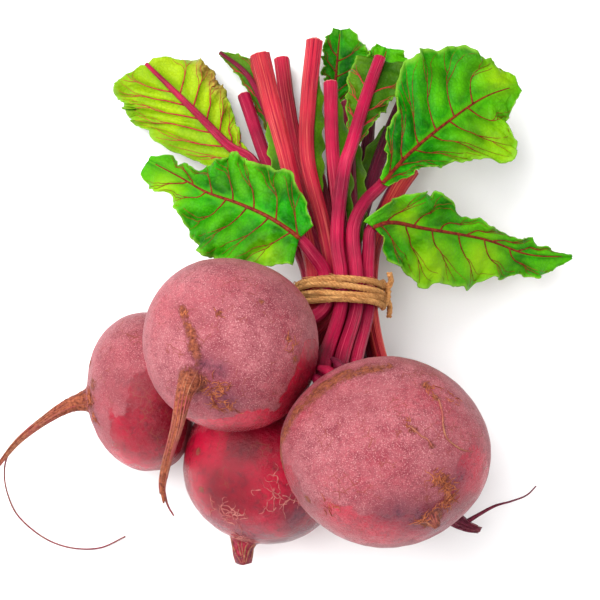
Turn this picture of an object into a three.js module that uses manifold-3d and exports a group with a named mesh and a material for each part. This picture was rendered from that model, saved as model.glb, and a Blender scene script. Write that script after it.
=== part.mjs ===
// A tied bunch of five beetroots with their cut leaf stalks and a few leaves, lying on a table.
// Millimetres, +Z up off the table, +Y towards the leaves, +X to the right seen from above.
import * as THREE from 'three';
import { mergeVertices } from 'three/addons/utils/BufferGeometryUtils.js';
import Module from 'manifold-3d';

const wasm = await Module();
wasm.setup();

// Driving dimensions
const TIE = new THREE.Vector3(22, 0, 50); // middle of the tied bundle
const TIE_HALF = 7; // the stalks run straight this far each side of the tie's middle
const RING_RADII = [0, 6.6, 13.0]; // one stalk in the middle, six round it, twelve outside
const STALK_RADIUS = 2.9;
const TWINE_RADIUS = 1.3;
const TWINE_PITCH = 2.7;
const TWINE_TURNS = 4;
const UP = [0, 0, 1];
const CONTACT_GAP = 0.35; // clearance between touching pieces
const BLADE_THICKNESS = 0.8;

const BEET_SIDES = 20;
const BEET_RINGS = 11;
const STALK_SIDES = 7;
const STALK_STEPS = 12;
const BLADE_ACROSS = [-1, -0.66, -0.33, 0, 0.33, 0.66, 1];

const COLOURS = {
  beet_skin: { color: '#8a3a4c', roughness: 0.55 },
  stalk: { color: '#b3123f', roughness: 0.45 },
  leaf_top: { color: '#2f9a1a', roughness: 0.5 },
  leaf_under: { color: '#8fb32a', roughness: 0.6 },
  twine: { color: '#c08a4a', roughness: 0.9 },
};

// Each beet: the middle of its body, the way its root points, its greatest radius, its length from crown
// to root, how far along it is widest, how much it is stretched in x, y and z, how much wider its stalks
// spread than in the tie, the depth and turn of its slow lumps, and its root as [x, y, z, radius] points.
// Rootlets are thinner roots on it. Its stalks bend by its neck.
const BEETS = [
  {
    name: 'beet_top_left',
    middle: [-22.8, -26.4, 89],
    root: [-0.46, -0.05, 0.885],
    radius: 34.2,
    length: 64,
    widest: 0.47,
    stretch: [1, 1, 1],
    spread: 1.5,
    lump: [0.02, 0.4],
    tail: [[-35, -41, 112, 7], [-38, -49, 118, 4.6], [-41, -62, 116, 2.9], [-45, -74, 109, 2.0],
      [-47, -83, 103, 1.5], [-46.5, -89, 100, 0.9]],
    neck: [1, -17, 58],
    rootlets: [[[-46.8, -84, 102.5, 1.0], [-45, -90, 99, 0.6], [-43, -93.5, 97, 0.45]]],
  },
  {
    name: 'beet_left',
    middle: [-62.5, -38.8, 32.2],
    root: [-0.985, -0.1, 0.02],
    radius: 33,
    length: 44,
    widest: 0.42,
    stretch: [1, 1, 1],
    spread: 1.15,
    lump: [0.015, 1.9],
    tail: [[-80, -41, 33, 5.6], [-92, -44.3, 32, 2.9], [-101, -49, 29, 1.9], [-115.5, -59, 21, 1.4],
      [-125, -69, 14, 0.9], [-130, -74.5, 10, 0.5]],
    neck: [-3, -24.5, 44.5],
    rootlets: [[[-114, -57.5, 22, 1.0], [-120.4, -64.5, 15.5, 0.6], [-122.8, -72, 8, 0.5],
      [-122, -80, 2.6, 0.5], [-118.5, -88, 0.7, 0.5], [-111.5, -95, 0.5, 0.5],
      [-102.4, -100.6, 0.5, 0.5], [-91.9, -103.4, 0.5, 0.5],
      [-81, -103, 0.5, 0.5], [-70.5, -98.2, 0.5, 0.45]]],
  },
  {
    name: 'beet_low',
    middle: [-10, -71.5, 33.4],
    root: [-0.3, -0.95, -0.08],
    radius: 34.4,
    length: 61,
    widest: 0.45,
    stretch: [1, 1, 1],
    spread: 1.15,
    lump: [0.02, 3.1],
    neck: [11.5, -25, 40],
    tail: [[-17, -96, 29.5, 8], [-18.5, -103.5, 28, 4.8], [-18, -110.5, 26.5, 3.4]],
    rootlets: [],
  },
  {
    name: 'beet_right',
    middle: [37.4, -69.2, 96.5],
    root: [0.36, -0.76, 0.54],
    radius: 37.5,
    length: 75,
    widest: 0.5,
    stretch: [1.06, 0.93, 1],
    spread: 1.15,
    lump: [0.02, 5.0],
    tail: [[50, -90, 113, 5.5], [53.5, -96, 117, 3.2], [55, -98.5, 119, 1.6]],
    rootlets: [],
  },
  {
    name: 'beet_hidden',
    middle: [52.5, -60, 26.8],
    root: [0.5, -0.86, -0.08],
    radius: 27,
    length: 50,
    widest: 0.45,
    stretch: [1, 1, 1],
    spread: 1.15,
    lump: [0.02, 2.2],
    tail: [[61, -78, 26, 8.5], [68, -88.5, 23.5, 4.8], [75.5, -94, 21, 3.0], [82.5, -96.2, 19, 1.4]],
    rootlets: [[[75, -93.5, 21, 1.3], [81.9, -89.4, 22, 0.9], [88.2, -86.1, 23, 0.7],
      [95.3, -84.1, 24, 0.6],
      [101.6, -81.6, 25, 0.5], [105.4, -77.9, 26, 0.4]]],
  },
];

// Each stalk: its beet, its place in the tie as [ring, degrees from +X towards +Z], and the points that
// it passes beyond the tie. ends is its half width and half thickness at its far end. A leaf starts at
// one of those points; its rib is over or under the blade. Each outline row is the share along the blade
// and how far the blade reaches to the left and to the right; lean turns those reaches towards the tip,
// from base to tip.
const STALKS = [
  {
    name: 'stalk_a',
    beet: 'beet_top_left',
    slot: [2, 150],
    beyond: [[7.5, 24, 56.5], [2.9, 44, 53], [-1.3, 63, 48.5], [-6.5, 84.5, 43], [-11.8, 108, 38]],
    ends: [4.6, 3.0],
  },
  {
    name: 'stalk_b',
    beet: 'beet_top_left',
    slot: [1, 120],
    beyond: [[15, 28, 57], [8.5, 60, 48], [9.3, 88, 42], [12, 115, 36]],
    ends: [3.8, 2.8],
  },
  {
    name: 'stalk_c',
    beet: 'beet_top_left',
    slot: [2, 120],
    beyond: [[10.5, 14, 66], [5, 20, 68.5], [-6.2, 28.4, 67.5], [-19.5, 36, 62], [-34.3, 43, 55],
      [-45, 50.4, 49.5], [-58.6, 59.2, 43]],
    ends: [0.8, 0.7],
    leaf: {
      name: 'leaf_left_front',
      starts: 1,
      face: [0.1, -0.25, 1],
      rib: 'under',
      outline: [[0, 11, 7.5], [0.1, 17, 13.3], [0.2, 22, 20.4], [0.35, 25.5, 18.4], [0.5, 24, 19.2],
        [0.6, 16, 14],
        [0.7, 11, 8], [0.8, 8.8, 4.6], [0.9, 11, 6], [1, 6.5, 2]],
      lean: [[-0.45, 0.15], [-0.1, 0]],
      rows: 16,
      wave: 2.2,
      waves: 5,
      teeth: 0.9,
      cup: -0.1,
    },
  },
  {
    name: 'stalk_d',
    beet: 'beet_right',
    slot: [2, 90],
    beyond: [[20.5, 20.5, 63], [24.3, 54, 58], [26.5, 61, 57], [33.2, 84.3, 51], [40, 104.5, 46]],
    ends: [2.6, 2.0],
    leaf: {
      name: 'leaf_middle',
      starts: 2,
      face: [-0.1, 0.1, 1],
      rib: 'over',
      outline: [[0, 1.3, 1.7], [0.25, 3.8, 5], [0.5, 8.4, 9.2], [0.75, 11, 13.4], [1, 11, 11]],
      lean: [[0.2, 0.1], [0.4, 0.2]],
      rows: 10,
      wave: 1.2,
      waves: 3,
      teeth: 0.6,
      cup: -0.12,
    },
  },
  {
    name: 'stalk_e',
    beet: 'beet_right',
    slot: [1, 60],
    beyond: [[24, 18, 55.5], [19.5, 60, 50], [18.8, 94, 43]],
    ends: [3.1, 2.6],
  },
  {
    name: 'stalk_f',
    beet: 'beet_right',
    slot: [2, 60],
    beyond: [[27.5, 26, 62], [32.5, 37.5, 59.5], [39, 45, 56], [51.3, 60, 50], [70, 77, 44],
      [85.7, 88.5, 40], [100, 94.5, 37]],
    ends: [0.8, 0.7],
    leaf: {
      name: 'leaf_right_back',
      starts: 2,
      face: [0, -0.1, 1],
      rib: 'under',
      outline: [[0, 2.6, 2.6], [0.1, 6, 5], [0.2, 13, 8.5], [0.35, 21.5, 14.3], [0.5, 31, 21.5],
        [0.65, 31.5, 31],
        [0.75, 26, 24], [0.8, 21.5, 14.5], [0.9, 13, 10], [1, 4, 2.5]],
      lean: [[0.5, 0.1], [0, 0.1]],
      rows: 16,
      wave: 2.4,
      waves: 4,
      teeth: 0.9,
      cup: 0.08,
    },
  },
  {
    name: 'stalk_g',
    beet: 'beet_hidden',
    slot: [2, 0],
    beyond: [[36.5, 20, 46], [41.5, 35, 40], [48, 49, 34.5], [54, 58.5, 31]],
    ends: [3.6, 2.6],
  },
  {
    name: 'stalk_h',
    beet: 'beet_right',
    slot: [1, 0],
    beyond: [[27.5, 30, 48.5], [26.5, 61, 41], [26, 88, 33]],
    ends: [2.8, 2.4],
  },
  {
    name: 'stalk_i',
    beet: 'beet_left',
    slot: [2, 180],
    beyond: [[3.5, 24, 45], [-7, 46, 31], [-16.3, 65.5, 24], [-24.7, 71, 22], [-37.8, 85, 19],
      [-50.6, 98.7, 16], [-63.5, 112.3, 13]],
    ends: [0.9, 0.7],
    leaf: {
      name: 'leaf_left_back',
      starts: 2,
      face: [-0.1, 0.1, 1],
      rib: 'over',
      outline: [[0, 2, 1.5], [0.15, 13.5, 7], [0.3, 27, 11], [0.45, 33, 16], [0.6, 29, 18.7],
        [0.75, 28, 20],
        [0.9, 15, 12], [1, 2, 4]],
      lean: [[0.25, 0.8], [0.1, 0.05]],
      rows: 15,
      wave: 1.8,
      waves: 4,
      teeth: 0.9,
      cup: -0.07,
    },
  },
  {
    name: 'stalk_j',
    beet: 'beet_left',
    slot: [1, 180],
    beyond: [[11.5, 24, 42.5], [-6, 58, 21], [-19.5, 99, 8]],
    ends: [3.0, 2.6],
  },
  {
    name: 'stalk_k',
    beet: 'beet_left',
    slot: [2, 210],
    beyond: [[8, 26, 32], [3.5, 48, 19], [-3, 71, 13], [-11.3, 96, 9], [-19, 110, 7.5], [-30.6, 120, 6]],
    ends: [0.8, 0.7],
    leaf: {
      name: 'leaf_left_small',
      starts: 2,
      face: [-0.2, 0.1, 1],
      rib: 'over',
      outline: [[0, 1.4, 1.4], [0.25, 3.4, 4.5], [0.5, 4.6, 7], [0.75, 3.6, 6.5], [0.9, 2, 3.5],
        [1, 0.7, 0.8]],
      lean: [[0.3, 0.3], [0.3, 0.3]],
      rows: 9,
      wave: 0.8,
      waves: 3,
      teeth: 0.5,
      cup: 0.1,
    },
  },
  {
    name: 'stalk_l',
    beet: 'beet_low',
    slot: [0, 0],
    beyond: [[18.5, 30, 41], [12.5, 64, 29], [11.5, 98, 18], [12.5, 124, 11]],
    ends: [2.8, 2.4],
  },
  {
    name: 'stalk_m',
    beet: 'beet_low',
    slot: [1, 240],
    beyond: [[15.5, 28, 36], [5.5, 64, 22], [0, 95, 13], [-2.5, 116, 8.5]],
    ends: [3.6, 2.6],
  },
  {
    name: 'stalk_n',
    beet: 'beet_low',
    slot: [2, 240],
    beyond: [[15, 28, 27], [12, 53, 13], [11, 78, 4.2], [12, 102, 2.3]],
    ends: [3.0, 2.6],
  },
  {
    name: 'stalk_o',
    beet: 'beet_low',
    slot: [2, 270],
    beyond: [[22.5, 28, 26], [20.5, 66, 11], [21, 92, 6], [22.5, 112, 4.2], [24.3, 131, 3.6]],
    ends: [0.8, 0.7],
    leaf: {
      name: 'leaf_back_middle',
      starts: 2,
      face: [0, 0, 1],
      rib: 'under',
      outline: [[0, 1.5, 1.8], [0.2, 4, 7.5], [0.4, 6, 13.5], [0.6, 7, 15], [0.8, 6.5, 12], [0.9, 5, 8],
        [1, 3, 4]],
      lean: [[0.3, 0.2], [0.3, 0.2]],
      rows: 11,
      wave: 1.2,
      waves: 4,
      teeth: 0.7,
      cup: 0.1,
    },
  },
  {
    name: 'stalk_p',
    beet: 'beet_hidden',
    slot: [1, 300],
    beyond: [[31, 33, 38.5], [41, 66, 27.5], [53, 96, 18]],
    ends: [3.1, 2.6],
  },
  {
    name: 'stalk_q',
    beet: 'beet_hidden',
    slot: [2, 300],
    beyond: [[30, 34, 28], [35, 68, 17], [38, 90.5, 13.5], [41, 105, 12], [45, 119.8, 11]],
    ends: [0.8, 0.7],
    leaf: {
      name: 'leaf_back_right',
      starts: 2,
      face: [0.1, 0, 1],
      rib: 'under',
      outline: [[0, 1.5, 1.5], [0.3, 5, 6], [0.6, 8, 11], [0.8, 8, 12], [1, 5, 7]],
      lean: [[0.2, 0.1], [0.2, 0.1]],
      rows: 10,
      wave: 1.8,
      waves: 4,
      teeth: 0.8,
      cup: 0.15,
    },
  },
  {
    name: 'stalk_r',
    beet: 'beet_hidden',
    slot: [2, 330],
    beyond: [[37.5, 30, 33], [50, 58, 18], [63, 79, 9]],
    ends: [3.0, 2.6],
  },
  {
    name: 'stalk_s',
    beet: 'beet_right',
    slot: [2, 30],
    beyond: [[33.8, 17, 59.5], [35, 25.5, 61.8], [42, 28.5, 58.5], [56.3, 28.2, 49.5], [85, 27, 32],
      [105.3, 23, 20], [125.5, 24, 10]],
    ends: [0.8, 0.7],
    leaf: {
      name: 'leaf_right_front',
      starts: 1,
      face: [0.1, -0.1, 1],
      rib: 'under',
      outline: [[0, 4, 4], [0.1, 10, 17], [0.2, 14.5, 18.8], [0.3, 17.6, 24], [0.4, 9.5, 21.5],
        [0.5, 7, 23],
        [0.6, 5.8, 19], [0.7, 5.7, 12.2], [0.8, 7.2, 9], [0.9, 2.4, 7], [1, 0.8, 0.8]],
      lean: [[-0.05, 0.1], [-0.15, -0.1]],
      rows: 20,
      wave: 2.0,
      waves: 6,
      teeth: 1.2,
      cup: -0.08,
    },
  },
];

const vec = (p) => new THREE.Vector3(p[0], p[1], p[2]);
const materialOf = (slot) => new THREE.MeshStandardMaterial({ ...COLOURS[slot], metalness: 0, name: slot });

// A closed skin over rings of points, each ring with the same count, its ends closed by fans round their
// middles.
function skin(rings) {
  const sides = rings[0].length;
  const points = rings.flat();
  const triangles = [];
  for (let i = 0; i + 1 < rings.length; i++)
    for (let j = 0; j < sides; j++) {
      const a = i * sides + j;
      const b = i * sides + ((j + 1) % sides);
      triangles.push(a, b, b + sides, a, b + sides, a + sides);
    }
  const middle = (ring) => ring.reduce((sum, p) => sum.add(p), new THREE.Vector3()).divideScalar(sides);
  points.push(middle(rings[0]), middle(rings[rings.length - 1]));
  const last = (rings.length - 1) * sides;
  for (let j = 0; j < sides; j++) {
    const k = (j + 1) % sides;
    triangles.push(points.length - 2, k, j, points.length - 1, last + j, last + k);
  }
  return solid(points, triangles);
}

function solid(points, triangles) {
  const shape = new THREE.BufferGeometry().setFromPoints(points).setIndex(triangles);
  const merged = mergeVertices(shape, 1e-4);
  return new wasm.Manifold(new wasm.Mesh({
    numProp: 3,
    vertProperties: new Float32Array(merged.attributes.position.array),
    triVerts: new Uint32Array(merged.index.array),
  }));
}

function fromGeometry(geometry) {
  const bare = geometry.index ? geometry.toNonIndexed() : geometry;
  const at = bare.attributes.position;
  const points = Array.from({ length: at.count }, (_, i) => new THREE.Vector3().fromBufferAttribute(at, i));
  return solid(points, points.map((_, i) => i));
}

function meshOf(shape, name, slot) {
  const made = shape.getMesh();
  const geometry = new THREE.BufferGeometry();
  geometry.setAttribute('position', new THREE.BufferAttribute(Float32Array.from(made.vertProperties), 3));
  geometry.setIndex(new THREE.BufferAttribute(Uint32Array.from(made.triVerts), 1));
  geometry.computeVertexNormals();
  const mesh = new THREE.Mesh(geometry, materialOf(slot));
  mesh.name = name;
  return mesh;
}

// Side and normal of a band that runs along direction and faces the hint.
function frameAt(direction, hint) {
  const side = new THREE.Vector3().crossVectors(hint, direction).normalize();
  const normal = new THREE.Vector3().crossVectors(direction, side).normalize();
  return { side, normal };
}

// A round tube through [x, y, z, radius] points.
function root(stations, sides, steps) {
  const curve = new THREE.CatmullRomCurve3(stations.map(vec), false, 'centripetal');
  const rings = [];
  for (let i = 0; i <= steps; i++) {
    const t = i / steps;
    const at = t * (stations.length - 1);
    const k = Math.min(Math.floor(at), stations.length - 2);
    const radius = THREE.MathUtils.lerp(stations[k][3], stations[k + 1][3], at - k);
    const { side, normal } = frameAt(curve.getTangent(t), new THREE.Vector3(0.3, 0.2, 1));
    rings.push(circle(curve.getPoint(t), side, normal, radius, radius, sides));
  }
  return skin(rings);
}

function circle(centre, side, normal, wide, thick, sides) {
  return Array.from({ length: sides }, (_, j) => {
    const angle = (2 * Math.PI * j) / sides;
    return centre.clone()
      .addScaledVector(side, wide * Math.cos(angle))
      .addScaledVector(normal, thick * Math.sin(angle));
  });
}

// The share of a beet's greatest radius at a share of its length from crown to root.
function beetProfile(share, widest) {
  const bent = share ** (Math.log(0.5) / Math.log(widest));
  return (1 - Math.abs(2 * bent - 1) ** 2.25) ** (1 / 2.1);
}

// A beet's body, with its shape's slow lumps, grown by a margin all round.
function beetBody(beet, grown = 0) {
  const axis = vec(beet.root).normalize();
  const { side, normal } = frameAt(axis, new THREE.Vector3(0.3, 0.2, 1));
  const [lump, phase] = beet.lump;
  const middle = vec(beet.middle);
  const crown = middle.clone().addScaledVector(axis, -beet.length / 2);
  const rings = [];
  for (let i = 0; i < BEET_RINGS; i++) {
    const turn = ((i + 0.5) / BEET_RINGS) * Math.PI;
    const share = (1 - Math.cos(turn)) / 2;
    const radius = beet.radius * beetProfile(share, beet.widest) + grown;
    const along = share * beet.length + grown * (2 * share - 1);
    const ring = [];
    for (let j = 0; j < BEET_SIDES; j++) {
      const angle = (2 * Math.PI * j) / BEET_SIDES;
      const lobes = Math.sin(2 * angle + phase) + 0.5 * Math.sin(3 * angle + 2 * phase + 4 * share);
      const swell = 1 + lump * lobes;
      ring.push(crown.clone().addScaledVector(axis, along)
        .addScaledVector(side, radius * swell * Math.cos(angle))
        .addScaledVector(normal, radius * swell * Math.sin(angle))
        .sub(middle).multiply(vec(beet.stretch)).add(middle));
    }
    rings.push(ring);
  }
  return skin(rings);
}

// A whole beet: body, root and rootlets in one piece, worn flat where it rests on the table.
function beetSolid(beet) {
  let whole = beetBody(beet).add(root(beet.tail, 8, 9));
  for (const rootlet of beet.rootlets) whole = whole.add(root(rootlet, 4, 3 * rootlet.length));
  return aboveTable(whole);
}

function aboveTable(shape) {
  return shape.subtract(fromGeometry(new THREE.BoxGeometry(400, 400, 20).translate(0, 0, -10)));
}

function slotPlace([ring, degrees]) {
  const angle = THREE.MathUtils.degToRad(degrees);
  const outward = new THREE.Vector3(Math.cos(angle), 0, Math.sin(angle));
  return TIE.clone().addScaledVector(outward, RING_RADII[ring]);
}

// Where a stalk leaves its beet: the tie's pattern, turned to face along the beet's own crown.
function footOf(stalk) {
  const beet = BEETS.find((b) => b.name === stalk.beet);
  const mates = STALKS.filter((s) => s.beet === stalk.beet).map((s) => slotPlace(s.slot));
  const mean = mates.reduce((sum, p) => sum.add(p), new THREE.Vector3()).divideScalar(mates.length);
  const away = vec(beet.root).normalize().negate();
  const offset = slotPlace(stalk.slot).sub(mean).multiplyScalar(beet.spread);
  const facing = (way) => new THREE.Quaternion().setFromUnitVectors(new THREE.Vector3(0, 1, 0), way);
  const reach = away.clone().multiplyScalar(beet.length / 2 - 2).multiply(vec(beet.stretch));
  const crown = vec(beet.middle).add(reach);
  const neck = beet.neck ? [vec(beet.neck)] : [];
  for (const bend of neck) {
    const into = bend.clone().sub(crown).normalize();
    const outOf = mean.clone().add(new THREE.Vector3(0, -TIE_HALF, 0)).sub(bend).normalize();
    bend.add(offset.clone().applyQuaternion(facing(into.add(outOf).normalize())));
  }
  return { at: crown.add(offset.applyQuaternion(facing(away))), away, neck };
}

function stalkCurve(stalk) {
  const { at, away, neck } = footOf(stalk);
  const slot = slotPlace(stalk.slot);
  return new THREE.CatmullRomCurve3([
    at.clone().addScaledVector(away, -4),
    at.clone().addScaledVector(away, 8),
    ...neck,
    slot.clone().add(new THREE.Vector3(0, -TIE_HALF, 0)),
    slot.clone().add(new THREE.Vector3(0, TIE_HALF, 0)),
    ...stalk.beyond.map(vec),
  ], false, 'centripetal');
}

// The share of the stalk's length at which it has left the tie.
function tieShare(curve) {
  let share = 0;
  while (curve.getPointAt(share).y < TIE_HALF) share += 0.01;
  return share;
}

// The share of the stalk's length at which its leaf starts.
function bladeShare(stalk) {
  const curve = stalkCurve(stalk);
  const lengths = curve.getLengths(200);
  const passed = curve.points.length - stalk.beyond.length + stalk.leaf.starts;
  return lengths[Math.round((200 * passed) / (curve.points.length - 1))] / lengths[200];
}

// Half width and half thickness of a stalk at a share of its length.
function stalkSize(stalk, share, left) {
  const start = STALK_RADIUS + 0.3 * Math.max(0, 1 - share / (0.6 * left));
  const from = stalk.leaf ? Math.max(left, bladeShare(stalk) - 0.1) : left;
  const out = Math.max(0, (share - from) / (1 - from));
  return [THREE.MathUtils.lerp(start, stalk.ends[0], out), THREE.MathUtils.lerp(start, stalk.ends[1], out)];
}

function stalkSolid(stalk) {
  const curve = stalkCurve(stalk);
  const left = tieShare(curve);
  const hint = stalk.leaf ? vec(stalk.leaf.face) : vec(UP);
  const rings = [];
  for (let i = 0; i <= STALK_STEPS; i++) {
    const share = i / STALK_STEPS;
    const { side, normal } = frameAt(curve.getTangentAt(share), hint);
    const [wide, thick] = stalkSize(stalk, share, left);
    rings.push(circle(curve.getPointAt(share), side, normal, wide, thick, STALK_SIDES));
  }
  let whole = skin(rings);
  for (const beet of BEETS.filter((b) => b.name === stalk.beet)) {
    whole = whole.subtract(beetBody(beet, CONTACT_GAP));
  }
  return aboveTable(whole);
}

// How far a blade reaches to one side at a share of its length, eased between its outline rows.
function reachAt(outline, share, column) {
  const k = Math.max(0, outline.findLastIndex((row) => row[0] <= share && row[0] < 1));
  const t = (share - outline[k][0]) / (outline[k + 1][0] - outline[k][0]);
  return THREE.MathUtils.lerp(outline[k][column], outline[k + 1][column], t);
}

// A waved leaf blade along the outer part of its stalk, which goes on over or under it as its rib.
function bladeSolid(stalk) {
  const leaf = stalk.leaf;
  const curve = stalkCurve(stalk);
  const left = tieShare(curve);
  const from = bladeShare(stalk);
  const grid = [];
  for (let i = 0; i <= leaf.rows; i++) {
    const share = i / leaf.rows;
    const at = THREE.MathUtils.lerp(from, 1, share);
    const direction = curve.getTangentAt(at);
    const { side, normal } = frameAt(direction, vec(leaf.face));
    const depth = stalkSize(stalk, at, left)[1] + BLADE_THICKNESS / 2 + CONTACT_GAP;
    const clear = leaf.rib === 'over' ? -depth : depth;
    grid.push(BLADE_ACROSS.map((u) => {
      const column = u < 0 ? 0 : 1;
      const tooth = (i % 2 ? 1 : -1) * leaf.teeth * Math.min(1, share * 6, (1 - share) * 6 + 0.2);
      const full = reachAt(leaf.outline, share, column + 1);
      const half = Math.max(0.6, full + (full > 3 ? tooth : 0));
      const lean = THREE.MathUtils.lerp(...leaf.lean[column], Math.min(1, share / 0.4));
      const swing = 2 * Math.PI * leaf.waves * share + 2 * column;
      const edge = Math.abs(u) ** 2;
      const lift = leaf.cup * half * edge + leaf.wave * edge * Math.sin(swing) * Math.min(1, half / 8);
      return curve.getPointAt(at).clone()
        .addScaledVector(side, -u * half * Math.cos(lean))
        .addScaledVector(direction, Math.abs(u) * half * Math.sin(lean))
        .addScaledVector(normal, clear + lift);
    }));
  }
  return thicken(grid);
}

// A sheet of even thickness on a grid of points, split alike on both faces.
function thicken(grid) {
  const rows = grid.length;
  const columns = grid[0].length;
  const { clamp } = THREE.MathUtils;
  const at = (i, j) => grid[clamp(i, 0, rows - 1)][clamp(j, 0, columns - 1)];
  const top = [];
  const bottom = [];
  for (let i = 0; i < rows; i++)
    for (let j = 0; j < columns; j++) {
      const along = at(i + 1, j).clone().sub(at(i - 1, j));
      const sideways = at(i, j + 1).clone().sub(at(i, j - 1));
      const normal = sideways.cross(along).normalize().multiplyScalar(BLADE_THICKNESS / 2);
      top.push(at(i, j).clone().add(normal));
      bottom.push(at(i, j).clone().sub(normal));
    }
  const points = [...top, ...bottom];
  const under = top.length;
  const triangles = [];
  for (let i = 0; i + 1 < rows; i++)
    for (let j = 0; j + 1 < columns; j++) {
      const a = i * columns + j;
      const b = a + 1;
      const c = a + columns;
      const d = c + 1;
      triangles.push(a, b, d, a, d, c, under + a, under + d, under + b, under + a, under + c, under + d);
    }
  const rim = [];
  for (let j = 0; j < columns - 1; j++) rim.push(j);
  for (let i = 0; i < rows - 1; i++) rim.push(i * columns + columns - 1);
  for (let j = columns - 1; j > 0; j--) rim.push((rows - 1) * columns + j);
  for (let i = rows - 1; i > 0; i--) rim.push(i * columns);
  rim.forEach((a, k) => {
    const b = rim[(k + 1) % rim.length];
    triangles.push(a, under + a, under + b, a, under + b, b);
  });
  return solid(points, triangles);
}

// Jute twine wound round the bundle, with a small knot and two short ends on the right.
function twineSolid() {
  const reach = RING_RADII[2] + STALK_RADIUS + 2 * CONTACT_GAP + TWINE_RADIUS;
  const perTurn = 18;
  const sides = 6;
  const steps = TWINE_TURNS * perTurn;
  const rings = [];
  for (let i = 0; i <= steps; i++) {
    const angle = (2 * Math.PI * i) / perTurn;
    const along = ((i / steps) - 0.5) * TWINE_TURNS * TWINE_PITCH;
    const out = new THREE.Vector3(Math.cos(angle), 0, Math.sin(angle));
    const centre = TIE.clone().add(new THREE.Vector3(0, along, 0)).addScaledVector(out, reach);
    rings.push(circle(centre, out, new THREE.Vector3(0, 1, 0), TWINE_RADIUS, TWINE_RADIUS * 0.98, sides));
  }
  const half = (TWINE_TURNS * TWINE_PITCH) / 2;
  const outer = TIE.x + reach;
  const across = root([
    [outer - 0.3, -half, TIE.z, 1.3], [outer + 1.8, -half * 0.4, TIE.z + 0.8, 1.5],
    [outer + 2, half * 0.4, TIE.z + 1, 1.5],
    [outer - 0.3, half, TIE.z, 1.3],
  ], 6, 7);
  const upperEnd = root([
    [outer + 1.6, half * 0.3, TIE.z + 1, 1.5], [outer + 3.2, half * 0.9, TIE.z + 4, 1.3],
    [outer + 2.4, half * 1.4, TIE.z + 8, 1.1],
  ], 6, 5);
  const lowerEnd = root([
    [outer + 1.6, -half * 0.3, TIE.z + 1, 1.5], [outer + 3, -half * 0.8, TIE.z - 3, 1.3],
    [outer + 3, -half * 1.5, TIE.z - 7, 1.1],
  ], 6, 5);
  return skin(rings).add(across).add(upperEnd).add(lowerEnd);
}

const bunch = new THREE.Group();
for (const beet of BEETS) bunch.add(meshOf(beetSolid(beet), beet.name, 'beet_skin'));
for (const stalk of STALKS) {
  bunch.add(meshOf(stalkSolid(stalk), stalk.name, 'stalk'));
  if (stalk.leaf) {
    const slot = stalk.leaf.rib === 'over' ? 'leaf_under' : 'leaf_top';
    bunch.add(meshOf(bladeSolid(stalk), stalk.leaf.name, slot));
  }
}
bunch.add(meshOf(twineSolid(), 'twine', 'twine'));
// The middle of the footprint is the origin.
const middle = new THREE.Box3().setFromObject(bunch).getCenter(new THREE.Vector3());
bunch.position.set(-middle.x, -middle.y, 0);

export default bunch;
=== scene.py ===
import math
import random

import bpy
import numpy as np
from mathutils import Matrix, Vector, noise
from mathutils.bvhtree import BVHTree


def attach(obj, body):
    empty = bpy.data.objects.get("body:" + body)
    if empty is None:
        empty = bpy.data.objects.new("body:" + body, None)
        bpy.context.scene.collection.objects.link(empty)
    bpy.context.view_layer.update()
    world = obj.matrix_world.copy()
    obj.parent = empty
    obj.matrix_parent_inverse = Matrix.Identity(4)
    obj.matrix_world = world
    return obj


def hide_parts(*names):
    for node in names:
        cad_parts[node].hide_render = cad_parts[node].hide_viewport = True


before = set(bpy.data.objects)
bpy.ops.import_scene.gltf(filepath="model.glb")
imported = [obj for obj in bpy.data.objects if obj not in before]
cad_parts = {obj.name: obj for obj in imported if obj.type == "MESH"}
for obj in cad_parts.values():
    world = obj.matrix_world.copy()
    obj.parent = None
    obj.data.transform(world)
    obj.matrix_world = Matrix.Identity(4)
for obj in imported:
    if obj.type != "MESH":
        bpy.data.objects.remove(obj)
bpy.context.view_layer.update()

# All shapes are worked out in millimetres in the part's own layout, then moved and scaled to metres.
SHIFT = np.array([2.0175, -10.3627, 0.0])
TIE = np.array([22.0, 0.0, 50.0])
TIE_HALF = 7.0
RING_RADII = [0.0, 6.6, 13.0]
STALK_RADIUS = 2.9
TWINE_RADIUS = 1.3
TWINE_PITCH = 2.7
TWINE_TURNS = 4
CONTACT_GAP = 0.35
BLADE_THICKNESS = 0.8

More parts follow.
